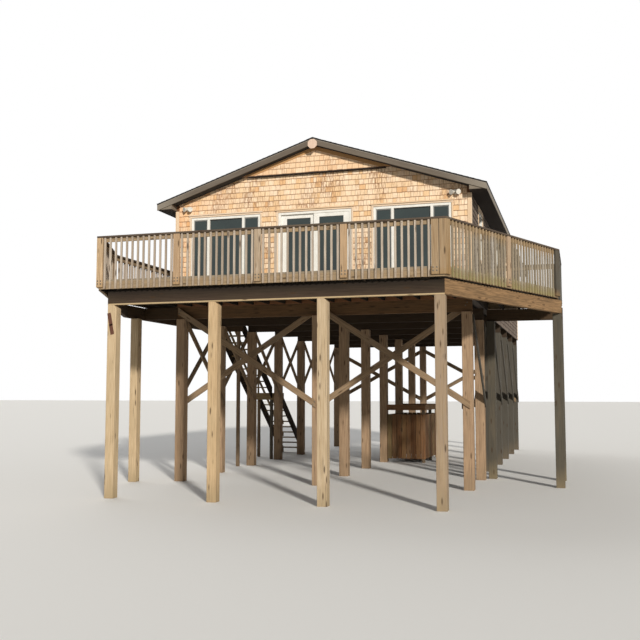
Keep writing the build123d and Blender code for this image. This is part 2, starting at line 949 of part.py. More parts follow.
# Crossed boards between the pilings of both sides of the house
with BuildPart() as side_cross_braces:
    for side in (-1, 1):
        outer = side_face.offset(side * (column_places[-1] + half_house_piling))
        inner = side_face.offset(side * (column_places[-1] - half_house_piling))
        near, far = (brace_foot, brace_head) if side > 0 else (brace_head, brace_foot)
        for first, second in zip(row_places, row_places[1:]):
            a = first + brace_lap
            b = second - brace_lap
            brace(inner, (a, near), (b, far), brace_width, -side * brace_thick)
            brace(outer, (a, far), (b, near), brace_width, side * brace_thick)
pieces["side_cross_braces"] = side_cross_braces

# Stair down the left side, in two straight flights towards the back
rise = floor_top / (riser_count_upper + riser_count_lower)
stair_centre = (stair_left + stair_right) / 2
upper_end = walkway_length + (riser_count_upper - 1) * tread_run
landing_z = floor_top - riser_count_upper * rise
lower_start = upper_end + stair_mid_landing
lower_end = lower_start + (riser_count_lower - 1) * tread_run
flights = (
    (walkway_length, floor_top, riser_count_upper),
    (lower_start, landing_z, riser_count_lower),
)

with BuildPart() as stair_treads:
    for start, top, count in flights:
        for n in range(1, count):
            with BuildSketch(plan.offset(top - n * rise - tread_thick)):
                with Locations((stair_centre, start + (n - 0.5) * tread_run)):
                    Rectangle(stair_width - 2 * stringer_thick - 2 * seat, tread_depth)
            extrude(amount=tread_thick)
pieces["stair_treads"] = stair_treads

stringer_drop = stringer_depth / math.cos(math.atan2(rise, tread_run))
with BuildPart() as stair_stringers:
    for start, top, count in flights:
        end = start + (count - 1) * tread_run
        head = top - stringer_nose
        end_head = head - (count - 1) * rise
        profile = [(start, head - stringer_drop), (start, head), (end, end_head)]
        if end_head > stringer_drop:
            profile.append((end, end_head - stringer_drop))
        else:
            profile += [(end, 0), (end - (stringer_drop - end_head) * tread_run / rise, 0)]
        for x in (stair_left, stair_right - stringer_thick):
            with BuildSketch(side_face.offset(x)):
                with BuildLine():
                    Polyline(*profile, close=True)
                make_face()
            extrude(amount=stringer_thick)
pieces["stair_stringers"] = stair_stringers

# Landing half way down, a board platform in a frame, clear of the braces on the house's pilings
landing_right = -girder_end - brace_thick - seat
landing_width = landing_right - stair_left
landing_centre = (landing_right + stair_left) / 2
landing_middle = upper_end + stair_mid_landing / 2
landing_frame_foot = landing_z - floor_board - joist_depth
with BuildPart() as stair_landings:
    with BuildSketch(plan.offset(landing_z - floor_board)):
        with Locations((landing_centre, landing_middle)):
            Rectangle(landing_width - 2 * seat, stair_mid_landing - 2 * seat)
    extrude(amount=floor_board)
    with BuildSketch(plan.offset(landing_frame_foot)):
        for side in (-1, 1):
            across = side * ((landing_width - joist_width) / 2 - seat)
            back = side * ((stair_mid_landing - joist_width) / 2 - seat)
            with Locations((landing_centre + across, landing_middle)):
                Rectangle(joist_width, stair_mid_landing - 2 * seat)
            with Locations((landing_centre, landing_middle + back)):
                Rectangle(landing_width - 2 * joist_width - 4 * seat, joist_width)
    extrude(amount=joist_depth - seat)
pieces["stair_landings"] = stair_landings

# Four posts under the landing, and three under the walkway's beams
post_lines = (stair_left + stair_post / 2, stair_right - stair_post / 2)
post_step = (stair_mid_landing - stair_post) / 2 - stair_post_inset
with BuildPart() as stair_posts:
    with BuildSketch(plan):
        for x in post_lines:
            with Locations((x, landing_middle - post_step), (x, landing_middle + post_step)):
                Rectangle(stair_post, stair_post)
    extrude(amount=landing_frame_foot)
    with BuildSketch(plan):
        with Locations(
            (walkway_beam_x + beam_width / 2, walkway_post_place),
            (walkway_beam_x + beam_width / 2, walkway_length - beam_width / 2),
            (stair_right - stair_post / 2, walkway_length - beam_width / 2),
        ):
            Rectangle(stair_post, stair_post)
    extrude(amount=girder_foot)
pieces["stair_posts"] = stair_posts

# Guard along the open side of the stair: posts outside, rails on their inner faces
guard_line = (
    (walkway_length, floor_top, upper_end, landing_z + rise),
    (upper_end, landing_z, lower_start, landing_z),
    (lower_start, landing_z, lower_end, rise),
)
guard_plane = side_face.offset(stair_left)
guard_reach = guard_height + guard_rise
with BuildPart() as stair_railings:
    for start, start_z, end, end_z in guard_line:
        for height in (guard_middle, guard_height):
            brace(guard_plane.offset(seat), (start + seat, start_z + height), (end - seat, end_z + height),
                  guard_board, guard_thick)
        foot = max(0, start_z - guard_drop)
        with BuildSketch(guard_plane):
            with Locations((start + guard_board / 2, (foot + start_z + guard_reach) / 2)):
                Rectangle(guard_board, start_z + guard_reach - foot)
        extrude(amount=-guard_thick)
    with BuildSketch(guard_plane):
        with Locations((lower_end - guard_board / 2, (rise + guard_reach) / 2)):
            Rectangle(guard_board, rise + guard_reach)
    extrude(amount=-guard_thick)
pieces["stair_railings"] = stair_railings

# Board enclosure: its left side is nailed to two pilings of the middle row, its right side to posts
enclosure_row = piling_bays // 2
store_left = half_house_piling + seat
store_front = row_places[enclosure_row] - half_house_piling
store_back = row_places[enclosure_row + 1] + half_house_piling
store_middle = (store_front + store_back) / 2
board_top = enclosure_height - enclosure_top_board - enclosure_slot
frame_front = store_front + enclosure_thick + seat
frame_back = store_back - enclosure_thick - seat
rail_left = store_left + enclosure_thick + seat
rail_right = enclosure_right - enclosure_post - seat

with BuildPart() as enclosure_posts:
    with BuildSketch(plan):
        for y in (frame_front + enclosure_post / 2, store_middle, frame_back - enclosure_post / 2):
            with Locations((enclosure_right - enclosure_post / 2, y)):
                Rectangle(enclosure_post, enclosure_post)
    extrude(amount=enclosure_height)
pieces["enclosure_posts"] = enclosure_posts

with BuildPart() as enclosure_rails:
    for foot in (enclosure_rail_low, enclosure_rail_high):
        with BuildSketch(plan.offset(foot)):
            for y in (frame_front + enclosure_rail / 2, frame_back - enclosure_rail / 2):
                with Locations(((rail_left + rail_right) / 2, y)):
                    Rectangle(rail_right - rail_left, enclosure_rail)
            for start, end in (
                (frame_front + enclosure_post, store_middle - enclosure_post / 2),
                (store_middle + enclosure_post / 2, frame_back - enclosure_post),
            ):
                with Locations((enclosure_right - enclosure_rail / 2, (start + end) / 2)):
                    Rectangle(enclosure_rail, end - start - 2 * seat)
            piling_gap = row_places[enclosure_row + 1] - row_places[enclosure_row] - house_piling
            with Locations((half_house_piling - enclosure_rail / 2, store_middle)):
                Rectangle(enclosure_rail, piling_gap - 2 * seat)
        extrude(amount=enclosure_post)
pieces["enclosure_rails"] = enclosure_rails


def board_places(start, end):
    """Centres and width of boards that fill a length with even gaps."""
    count = max(1, round((end - start + enclosure_gap) / (enclosure_board + enclosure_gap)))
    pitch = (end - start + enclosure_gap) / count
    return [start + pitch * (n + 0.5) - enclosure_gap / 2 for n in range(count)], pitch - enclosure_gap


with BuildPart() as enclosure_boards:
    end_places, end_width = board_places(rail_left, enclosure_right + enclosure_thick)
    side_places, side_width = board_places(frame_front, frame_back)
    with BuildSketch(plan.offset(enclosure_foot)):
        for y in (store_front + enclosure_thick / 2, store_back - enclosure_thick / 2):
            with Locations(*[(x, y) for x in end_places]):
                Rectangle(end_width, enclosure_thick)
        for x in (store_left + enclosure_thick / 2, enclosure_right + enclosure_thick / 2):
            with Locations(*[(x, y) for y in side_places]):
                Rectangle(enclosure_thick, side_width)
    extrude(amount=board_top - enclosure_foot)
    top_length = enclosure_right + enclosure_thick - store_left
    with BuildSketch(plan.offset(enclosure_height - enclosure_top_board)):
        for y in (store_front + enclosure_thick / 2, store_back - enclosure_thick / 2):
            with Locations((store_left + top_length / 2, y)):
                Rectangle(top_length, enclosure_thick)
        with Locations((enclosure_right + seat + enclosure_thick / 2, store_middle)):
            Rectangle(enclosure_thick - 2 * seat, frame_back - frame_front)
    extrude(amount=enclosure_top_board)
pieces["enclosure_boards"] = enclosure_boards

os.makedirs("parts", exist_ok=True)
for name, piece in pieces.items():
    piece.part.label = name
    export_step(piece.part, f"parts/{name}.step")
print(len(pieces), "pieces")
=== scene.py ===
import math
import random

import bpy
from mathutils import Matrix, Vector


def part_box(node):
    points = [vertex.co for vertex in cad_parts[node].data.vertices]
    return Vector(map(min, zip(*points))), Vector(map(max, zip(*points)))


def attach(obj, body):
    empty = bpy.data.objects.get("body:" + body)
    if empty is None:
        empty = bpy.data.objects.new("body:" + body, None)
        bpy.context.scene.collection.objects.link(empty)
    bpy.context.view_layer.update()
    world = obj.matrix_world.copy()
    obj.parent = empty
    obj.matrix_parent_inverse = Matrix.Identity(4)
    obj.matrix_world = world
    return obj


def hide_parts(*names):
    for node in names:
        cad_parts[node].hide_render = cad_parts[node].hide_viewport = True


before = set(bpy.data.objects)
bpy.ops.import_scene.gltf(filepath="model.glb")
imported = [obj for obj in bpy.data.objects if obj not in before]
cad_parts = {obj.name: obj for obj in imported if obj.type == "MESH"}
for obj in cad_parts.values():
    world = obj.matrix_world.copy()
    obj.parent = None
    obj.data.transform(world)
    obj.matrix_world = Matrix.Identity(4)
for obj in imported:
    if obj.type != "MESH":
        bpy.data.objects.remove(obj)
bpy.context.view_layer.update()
print("frame loaded:", len(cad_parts), "nodes")

# The photograph's view, as a camera of its own
view = {
    "place": (5.9145, -19.5387, 2.1527), "tilt": 94.83, "turn": 16.704,
    "lens": 48.509, "sensor": 36, "reach": 300,
}
bpy.ops.object.camera_add(
    location=view["place"], rotation=(math.radians(view["tilt"]), 0, math.radians(view["turn"])))
lens = bpy.context.object
lens.data.lens = view["lens"]
lens.data.sensor_width = view["sensor"]
lens.data.clip_end = view["reach"]
bpy.context.scene.camera = lens
bpy.context.scene.view_settings.view_transform = "Standard"


def colour(code):
    # sRGB hex to the linear values that Blender mixes in
    parts = [int(code[n:n + 2], 16) / 255 for n in (1, 3, 5)]
    return [p / 12.92 if p <= 0.04045 else ((p + 0.055) / 1.055) ** 2.4 for p in parts] + [1]


def feed(owner, node, inputs):
    # values and links into the sockets of a node
    for name, value in inputs.items():
        if isinstance(value, bpy.types.NodeSocket):
            owner.node_tree.links.new(value, node.inputs[name])
        else:
            node.inputs[name].default_value = value


def add(owner, kind, inputs=None, **settings):
    # one node with its settings, values and links
    made = owner.node_tree.nodes.new("ShaderNode" + kind)
    for name, value in settings.items():
        setattr(made, name, value)
    feed(owner, made, inputs or {})
    return made


def newMaterial(name):
    made = bpy.data.materials.new(name)
    made.use_nodes = True
    return made, made.node_tree.nodes["Principled BSDF"]


def rampColours(ramp, stops):
    elements = ramp.color_ramp.elements
    while len(elements) < len(stops):
        elements.new(0.5)
    for element, (place, code) in zip(elements, stops):
        element.position = place
        element.color = colour(code)


# Sizes that the pieces below share, in metres
house = {
    "wallLine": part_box("front_wall")[0].y,
    "length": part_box("rear_wall")[1].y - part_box("front_wall")[0].y,
    "halfWidth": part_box("front_wall")[1].x,
    "floor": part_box("deck_floor")[1].z,
    "sidingFoot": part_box("corner_boards")[0].z,
    "sidingTop": 8.05,
    "soffitFoot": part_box("soffits")[0].z,
    "ridge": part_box("left_roof")[1].z,
    "slope": 1 / 3,
    "roofDepth": 0.15,
    "rakeFront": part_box("rake_boards")[0].y,
    "rakeBack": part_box("rake_boards")[1].y,
    "rakeHalf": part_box("rake_boards")[1].x,
    "panelFoot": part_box("gable_panel")[0].z,
    "panelFace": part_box("gable_panel")[0].y,
    "cornerBoard": 0.076,
}
halfWidth = house["halfWidth"]
wallLine = house["wallLine"]
hair = 0.001   # room left between neighbours

# The deck's outline on plan, from the head of the stair round to the right wall
deck = {"leftBend": -1.527, "frontLeft": -3.64, "frontRight": 3.593, "rightBend": 0.673, "sideEnd": 2.995}
deckLow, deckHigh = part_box("deck_floor")
deckLine = [
    Vector((deckLow.x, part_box("left_balusters")[1].y, 0)),
    Vector((deckLow.x, deck["leftBend"], 0)),
    Vector((deck["frontLeft"], deckLow.y, 0)),
    Vector((deck["frontRight"], deckLow.y, 0)),
    Vector((deckHigh.x, deck["rightBend"], 0)),
    Vector((deckHigh.x, deck["sideEnd"], 0)),
    Vector((halfWidth, deck["sideEnd"], 0)),
]
walkwayEnd = deckHigh.y


def outwardOf(run):
    step = (deckLine[run + 1] - deckLine[run]).normalized()
    return Vector((step.y, -step.x, 0))


def clear():
    if bpy.context.object and bpy.context.object.mode != "OBJECT":
        bpy.ops.object.mode_set(mode="OBJECT")
    bpy.ops.object.select_all(action="DESELECT")


def choose(piece):
    clear()
    piece.select_set(True)
    bpy.context.view_layer.objects.active = piece


def settle(piece, name, mat, replaced=()):
    # a finished piece: its place in its mesh, its material, and the body it rides on
    choose(piece)
    bpy.ops.object.transform_apply(location=True, rotation=True, scale=True)
    piece.name = name
    piece.data.name = name
    piece.data.materials.clear()
    piece.data.materials.append(mat)
    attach(piece, "root")
    if replaced:
        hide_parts(*replaced)


def tint(mesh, tone):
    # one random tone for the whole of a mesh, which its material reads
    field = mesh.attributes.new("tone", "FLOAT_VECTOR", "POINT")
    field.data.foreach_set("vector", list(tone) * len(mesh.vertices))


def copyOf(master, place, tone=None):
    # a copy with its own mesh, moved there, with a tone of its own where one is given
    mesh = master.data.copy()
    mesh.transform(place)
    if tone is not None:
        tint(mesh, tone)
    made = bpy.data.objects.new(master.name, mesh)
    bpy.context.scene.collection.objects.link(made)
    return made


def joined(parts):
    clear()
    for part in parts:
        part.select_set(True)
    bpy.context.view_layer.objects.active = parts[0]
    bpy.ops.object.join()
    return bpy.context.object


def remove(obj):
    bpy.data.objects.remove(obj)


chance = random.Random(41)


def draw():
    return (chance.random(), chance.random(), chance.random())


def shape(piece, step, **settings):
    # one edit mode step on the whole of a piece
    choose(piece)
    bpy.ops.object.mode_set(mode="EDIT")
    bpy.ops.mesh.select_all(action="SELECT")
    step(**settings)
    bpy.ops.object.mode_set(mode="OBJECT")


def pick(items, wanted):
    # only some points or faces of the present piece chosen, in edit mode
    bpy.ops.object.mode_set(mode="EDIT")
    bpy.ops.mesh.select_all(action="DESELECT")
    bpy.ops.object.mode_set(mode="OBJECT")
    for item in items:
        item.select = wanted(item)
    bpy.ops.object.mode_set(mode="EDIT")


def trim(piece, point, normal):
    # cuts off what lies past a plane and closes the cut
    shape(piece, bpy.ops.mesh.bisect, plane_co=point, plane_no=normal, use_fill=True, clear_outer=True)


def outwards(piece):
    # faces of a mirrored piece turned to point out again
    shape(piece, bpy.ops.mesh.normals_make_consistent, inside=False)


def ease(piece, width):
    # edges worn a little round
    worn = piece.modifiers.new("worn", "BEVEL")
    worn.width = width
    worn.segments = 1
    worn.limit_method = "ANGLE"
    worn.angle_limit = math.radians(35)
    choose(piece)
    bpy.ops.object.modifier_apply(modifier="worn")


def mark(mesh, tone):
    # a stick's own grain line, as lengths along and across it from a random start, and its tone
    edges = [mesh.vertices[e.vertices[1]].co - mesh.vertices[e.vertices[0]].co for e in mesh.edges]
    line = max(edges, key=lambda edge: edge.length).normalized()
    if line.z < -0.01 or (abs(line.z) < 0.01 and line.x + line.y < 0):
        line = -line
    side = line.cross(Vector((0, 0, 1))) if abs(line.z) < 0.9 else Vector((1, 0, 0))
    side = (side - line * side.dot(line)).normalized()
    up = line.cross(side)
    start = Vector(draw()) * 20   # far enough apart that no two sticks share their grain
    field = mesh.attributes.new("grain", "FLOAT_VECTOR", "POINT")
    for vertex, value in zip(mesh.vertices, field.data):
        value.vector = start + Vector((vertex.co.dot(line), vertex.co.dot(side), vertex.co.dot(up)))
    tint(mesh, tone)


def sticksOf(node, width, toneOf=None):
    # the boards of a node as sticks with worn edges, each with its own grain and tone
    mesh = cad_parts[node].data.copy()
    whole = bpy.data.objects.new(node, mesh)
    bpy.context.scene.collection.objects.link(whole)
    choose(whole)
    bpy.ops.object.mode_set(mode="EDIT")
    bpy.ops.mesh.select_all(action="SELECT")
    bpy.ops.mesh.remove_doubles(threshold=0.00002)
    bpy.ops.mesh.dissolve_limited(angle_limit=math.radians(1))
    bpy.ops.mesh.select_all(action="SELECT")
    bpy.ops.mesh.separate(type="LOOSE")
    bpy.ops.object.mode_set(mode="OBJECT")
    rows = []
    for part in bpy.context.selected_objects:
        points = [v.co for v in part.data.vertices]
        rows.append((sum(points, Vector()) / len(points), part))
    rows.sort(key=lambda row: (round(row[0].x, 3), round(row[0].y, 3), round(row[0].z, 3)))
    for middle, part in rows:
        tone = draw()
        if toneOf:
            tone = (toneOf(middle), *tone[1:])
        mark(part.data, tone)
    whole = joined([part for _, part in rows])
    ease(whole, width)
    return whole, [middle for middle, _ in rows]


def wedge(name, thick, thin):
    # one shingle, a unit wide and high: thick at its butt and thin at its top, its back on the wall
    clear()
    bpy.ops.mesh.primitive_cube_add(size=1, location=(0, -0.5, 0.5))
    made = bpy.context.object
    bpy.ops.object.transform_apply(location=True)
    pick(made.data.vertices, lambda vertex: vertex.co.y < -0.5 and vertex.co.z > 0.5)
    bpy.ops.transform.translate(value=(0, 1 - thin / thick, 0))
    bpy.ops.object.mode_set(mode="OBJECT")
    made.name = name
    local = made.data.attributes.new("local", "FLOAT_VECTOR", "POINT")
    for vertex, value in zip(made.data.vertices, local.data):
        value.vector = (vertex.co.x + 0.5, 0, vertex.co.z)
    return made


def board(place, size, turn=Matrix()):
    # a unit block brought to size, with a grain and a tone of its own
    made = copyOf(plank, turn @ Matrix.Translation(place) @ Matrix.Diagonal((*size, 1)))
    mark(made.data, draw())
    return made


def spansOf(start, end, low, high, holes):
    # the free stretches of one course: (start, end, low, high), split at the holes that it meets
    met = [h for h in holes if h[2] < high - hair and h[3] > low + hair and h[0] < end and h[1] > start]
    cuts = sorted({start, end, *[min(max(e, start), end) for h in met for e in h[:2]]})
    spans = []
    for left, right in zip(cuts, cuts[1:]):
        middle = (left + right) / 2
        pieces = [(low, high)]
        for h in met:
            if h[0] < middle < h[1]:
                pieces = [
                    part
                    for a, b in pieces
                    for part in ((a, min(b, h[2])), (max(a, h[3]), b))
                    if part[1] - part[0] > shingleRules["strip"]
                ]
        spans += [(left, right, a, b) for a, b in pieces]
    return spans


def shingled(wall):
    # courses of shingles of random widths, laid on one wall
    rules = shingleRules
    parts = []
    count = math.ceil((wall["top"] - wall["foot"]) / rules["exposure"])
    for course in range(count):
        low = wall["foot"] + course * rules["exposure"]
        high = min(low + rules["exposure"], wall["top"])
        for left, right, a, b in spansOf(wall["start"], wall["end"], low, high, wall["holes"]):
            place = left
            while place < right - rules["sliver"]:
                width = chance.uniform(*rules["widths"])
                if right - place - width < rules["widths"][0] * rules["last"]:
                    width = right - place
                uneven = chance.uniform(-0.5, 0.5) * rules["uneven"] if a == low else 0
                depth = rules["butt"] * chance.uniform(*rules["depths"])
                size = Matrix.Diagonal((width - rules["gap"], depth, b - a - uneven, 1))
                spot = Matrix.Translation((place + width / 2, 0, a + uneven))
                tone = draw()
                if wall["keep"](place, place + width, a):
                    parts.append(copyOf(shingle, wall["frame"] @ spot @ size, tone))
                place += width
    return joined(parts)


# Cedar shingles on the front, and the weathered ones of the other walls
shingleRules = {
    "exposure": 0.127, "widths": (0.07, 0.17), "gap": 0.005, "butt": 0.016, "top": 0.005, "uneven": 0.01,
    "depths": (0.8, 1.15), "last": 0.6, "sliver": 0.004, "strip": 0.012,
}
surround = {"units": (-2.334, -0.047, 2.306), "side": 0.04, "cap": 0.066, "capTop": 0.0683, "foot": 4.4}
gable = {"reach": 2.4, "lap": 0.01}
shingle = wedge("shingle", shingleRules["butt"], shingleRules["top"])
unitHalf = (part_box("door_frame")[1].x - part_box("door_frame")[0].x) / 2
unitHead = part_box("door_frame")[1].z
casingTop = unitHead + surround["side"]
glazing = [
    (unit - unitHalf - side, unit + unitHalf + side, low, high)
    for side, low, high in (
        (surround["side"], surround["foot"], casingTop),
        (surround["cap"], casingTop, unitHead + surround["capTop"]))
    for unit in surround["units"]
]
endReach = halfWidth - house["cornerBoard"] - hair


def underRake(left, right, low):
    near = 0 if left < 0 < right else min(abs(left), abs(right))
    return low < house["ridge"] - near * house["slope"] - house["roofDepth"]


def trimRakes(piece):
    top = house["ridge"] - house["roofDepth"] - hair
    for side in (-1, 1):
        trim(piece, (0, 0, top), (side * house["slope"], 0, 1))


frontWall = {
    "start": -endReach, "end": endReach, "foot": house["floor"], "top": house["panelFoot"] - hair,
    "holes": glazing, "frame": Matrix.Translation((0, wallLine, 0)), "keep": underRake,
}
frontShingles = shingled(frontWall)
trimRakes(frontShingles)
panelWall = {
    "start": -gable["reach"], "end": gable["reach"], "foot": house["panelFoot"] - gable["lap"],
    "top": house["sidingTop"], "holes": [], "frame": Matrix.Translation((0, house["panelFace"], 0)),
    "keep": underRake,
}
gableShingles = shingled(panelWall)
trimRakes(gableShingles)
print("front shingles")

plainWindow = {
    "half": 0.43, "foot": 5.4, "height": 1.18, "rows": (1.9, 6.3, 9.2, 12.2), "rear": (-2.3, 0, 2.3),
}
entry = {"place": 3.906, "half": 0.457, "height": 2.04}
trimRules = {"width": 0.09, "thick": 0.02, "room": 0.1, "horns": 0.03, "seat": 0.0005, "worn": 0.002}
ledger = {"past": 0.01, "low": 4.1, "high": 4.501}   # where the deck meets the walls, which stay bare there


def windowHole(middle):
    reach = plainWindow["half"] + trimRules["width"]
    top = plainWindow["foot"] + plainWindow["height"] + trimRules["width"]
    return middle - reach, middle + reach, plainWindow["foot"] - trimRules["room"], top


def ledgerHole(end):
    return 0, end - wallLine + ledger["past"], ledger["low"], ledger["high"]


def wallFrame(x, y, degrees):
    return Matrix.Translation((x, y, 0)) @ Matrix.Rotation(math.radians(degrees), 4, "Z")


sideHoles = [windowHole(y) for y in plainWindow["rows"]]
entryReach = entry["half"] + trimRules["width"]
entryTop = house["floor"] + entry["height"] + trimRules["room"]
entryHole = (entry["place"] - entryReach, entry["place"] + entryReach, house["floor"], entryTop)
leftFrame = wallFrame(-halfWidth, wallLine, -90) @ Matrix.Diagonal((-1, 1, 1, 1))
rightFrame = wallFrame(halfWidth, wallLine, 90)
rearFrame = wallFrame(0, wallLine + house["length"], 180)
leftWall = {
    "start": house["cornerBoard"] + hair, "end": house["length"] - house["cornerBoard"] - hair,
    "foot": house["sidingFoot"], "top": house["soffitFoot"], "keep": lambda *place: True, "frame": leftFrame,
    "holes": sideHoles + [entryHole, ledgerHole(walkwayEnd)],
}
rightWall = dict(leftWall, frame=rightFrame, holes=sideHoles + [ledgerHole(deckLine[5].y)])
rearWall = {
    "start": -endReach, "end": endReach, "foot": house["sidingFoot"], "top": house["sidingTop"],
    "frame": rearFrame, "holes": [windowHole(x) for x in plainWindow["rear"]], "keep": underRake,
}
leftShingles = shingled(leftWall)
outwards(leftShingles)
rightShingles = shingled(rightWall)
rearShingles = shingled(rearWall)
trimRakes(rearShingles)
remove(shingle)
print("side and rear shingles")

# Roof shingles in courses up each slope, tab by tab, every other course half a tab along
roofRules = {
    "exposure": 0.14, "tab": 0.305, "slot": 0.007, "butt": 0.007, "top": 0.002, "overhang": 0.012,
    "ridgeRoom": 0.146, "sliver": 0.02,
}
tab = wedge("tab", roofRules["butt"], roofRules["top"])
slopeAngle = math.atan(house["slope"])
eaveX = house["rakeHalf"] + roofRules["overhang"]
slopeLength = (eaveX - roofRules["ridgeRoom"]) / math.cos(slopeAngle)
roofFront = house["rakeFront"] - roofRules["overhang"]
roofBack = house["rakeBack"]
roofShingles = {}
for side in (-1, 1):
    # tab frame: X runs along the eave, minus Y out of the roof, Z up the slope
    up = Vector((-side * math.cos(slopeAngle), 0, math.sin(slopeAngle)))
    out = Vector((side * math.sin(slopeAngle), 0, math.cos(slopeAngle)))
    turn = Matrix((out.cross(up), -out, up)).transposed().to_4x4()
    foot = Vector((side * eaveX, 0, house["ridge"] - eaveX * house["slope"]))
    parts = []
    for course in range(math.ceil(slopeLength / roofRules["exposure"])):
        low = course * roofRules["exposure"]
        high = min(low + roofRules["exposure"], slopeLength)
        place = roofFront - (course % 2) * roofRules["tab"] / 2
        while place < roofBack:
            left = max(place, roofFront)
            right = min(place + roofRules["tab"], roofBack)
            if right - left > roofRules["sliver"]:
                spot = foot + up * low + Vector((0, (left + right) / 2, 0))
                size = Matrix.Diagonal((right - left - roofRules["slot"], roofRules["butt"], high - low, 1))
                parts.append(copyOf(tab, Matrix.Translation(spot) @ turn @ size, draw()))
            place += roofRules["tab"]
    roofShingles[side] = joined(parts)
remove(tab)
print("roof shingles")

# Ridge: bent cap shingles that overlap towards the back
ridgeRules = {"exposure": 0.14, "lap": 0.02, "reach": 0.15, "thick": 0.0035, "lift": 0.0035, "seat": 0.0005}
clear()
bpy.ops.mesh.primitive_plane_add(size=1)
cap = bpy.context.object
cap.scale = (2 * ridgeRules["reach"], ridgeRules["exposure"] + ridgeRules["lap"], 1)
bpy.ops.object.transform_apply(scale=True)
shape(cap, bpy.ops.mesh.subdivide, number_cuts=1)
for vertex in cap.data.vertices:
    front = vertex.co.y < 0
    vertex.co.z = -abs(vertex.co.x) * house["slope"] + (ridgeRules["lift"] if front else 0)
solid = cap.modifiers.new("thickness", "SOLIDIFY")
solid.thickness = ridgeRules["thick"]
solid.offset = 1
bpy.ops.object.modifier_apply(modifier="thickness")
cap.name = "ridgeShingle"
parts = []
for n in range(int((roofBack - roofFront) / ridgeRules["exposure"])):
    y = roofFront + (n + 0.5) * ridgeRules["exposure"] + ridgeRules["lap"] / 2
    place = Matrix.Translation((0, y, house["ridge"] + ridgeRules["seat"]))
    parts.append(copyOf(cap, place, draw()))
ridgeShingles = joined(parts)
remove(cap)
print("ridge shingles")

# Deck boards across the deck and the walkway, cut to the deck's line
clear()
bpy.ops.mesh.primitive_cube_add(size=1)
plank = bpy.context.object
plank.name = "plank"
boardRules = {"front": 25, "side": 22, "walkway": 32, "gap": 0.006, "thick": 0.038}
leftX, rightX = deckLine[0].x, deckLine[4].x
parts = []
for count, start, end, left, right in (
    (boardRules["front"], deckLine[2].y, wallLine, leftX, rightX),
    (boardRules["side"], wallLine, deckLine[5].y, halfWidth + hair, rightX),
    (boardRules["walkway"], wallLine, walkwayEnd, leftX, -halfWidth - hair),
):
    pitch = (end - start) / count
    size = (right - left, pitch - boardRules["gap"], boardRules["thick"])
    for n in range(count):
        place = ((left + right) / 2, start + (n + 0.5) * pitch, house["floor"] - boardRules["thick"] / 2)
        parts.append(board(place, size))
deckBoards = joined(parts)
for run in (1, 3):
    trim(deckBoards, deckLine[run], outwardOf(run))
print("deck boards")

# Trim boards round the plain windows and the side door
wide = trimRules["width"]
openings = [(turn, y, True) for turn in (leftFrame, rightFrame) for y in plainWindow["rows"]]
openings += [(rearFrame, x, True) for x in plainWindow["rear"]] + [(leftFrame, entry["place"], False)]
parts = []
for turn, place, sill in openings:
    half, height, foot = plainWindow["half"], plainWindow["height"], plainWindow["foot"]
    if not sill:
        half, height, foot = entry["half"], entry["height"], house["floor"]
    length = 2 * (half + wide) + trimRules["horns"]
    boards = [(place + side * (half + wide / 2), foot + height / 2, wide, height) for side in (-1, 1)]
    boards.append((place, foot + height + wide / 2, length, wide))
    if sill:
        boards.append((place, foot - wide / 2, length, wide))
    for x, z, across, tall in boards:
        size = (across - hair, trimRules["thick"], tall - hair)
        parts.append(board((x, -trimRules["thick"] / 2 - trimRules["seat"], z), size, turn))
sideCasings = joined(parts)
outwards(sideCasings)
ease(sideCasings, trimRules["worn"])
print("window trim")

# Frieze boards on the upper gable, tight under the rakes
frieze = {"wide": 0.085, "thick": 0.024, "start": -0.03, "drop": 0.152, "worn": 0.002}
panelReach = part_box("gable_panel")[1].x
friezeLength = (panelReach - frieze["start"]) / math.cos(slopeAngle)
place = (0, house["panelFace"] - frieze["thick"] / 2, house["ridge"] - frieze["drop"])
friezeHead = Matrix.Translation(place)
parts = []
for side in (-1, 1):
    turn = friezeHead @ Matrix.Rotation(side * slopeAngle, 4, "Y")
    place = (side * (frieze["start"] / 2 + friezeLength / 2), 0, -frieze["wide"] / 2)
    parts.append(board(place, (friezeLength, frieze["thick"], frieze["wide"]), turn))
    trim(parts[-1], (0, 0, 0), (-side, 0, 0))
    trim(parts[-1], (0, 0, house["panelFoot"]), (0, 0, -1))
friezeBoards = joined(parts)
ease(friezeBoards, frieze["worn"])

# Painted shadow: a dark drip board under the foot of the upper gable, where its shade falls
shadowDripBoard = {"thick": 0.024, "drop": 0.023, "proud": 0.022, "short": 0.24, "worn": 0.002}
place = (0, (wallLine + house["panelFace"] - shadowDripBoard["proud"]) / 2, house["panelFoot"] - shadowDripBoard["drop"])
depth = wallLine - house["panelFace"] + shadowDripBoard["proud"]
gableDrip = board(place, (2 * panelReach - shadowDripBoard["short"], depth, shadowDripBoard["thick"]))
ease(gableDrip, shadowDripBoard["worn"])

# Metal drip edge along the front rakes and the eaves: a dark lip over a pale hem
dripRules = {"lip": 0.03, "hem": 0.01, "proud": 0.002}
rakeLength = house["rakeHalf"] / math.cos(slopeAngle)
drips = {}
for name, top, tall, thick in (
    ("dripLip", 0, dripRules["lip"], 2 * dripRules["proud"]),
    ("dripHem", dripRules["lip"], dripRules["hem"], dripRules["proud"]),
):
    parts = []
    for side in (-1, 1):
        place = Matrix.Translation((0, house["rakeFront"] - thick / 2, house["ridge"]))
        tilt = Matrix.Rotation(side * slopeAngle, 4, "Y")
        middle = (side * rakeLength / 2, 0, -top - tall / 2)
        parts.append(board(middle, (rakeLength, thick, tall), place @ tilt))
        x = side * (house["rakeHalf"] + thick / 2)
        z = house["ridge"] - house["rakeHalf"] * house["slope"] - top - tall / 2
        size = (thick, roofBack - house["rakeFront"], tall)
        parts.append(board((x, (roofBack + house["rakeFront"]) / 2, z), size))
    drips[name] = joined(parts)
print("roof edges")

# Every board of the frame, windows and doors has worn edges, and a tone and a grain of its own


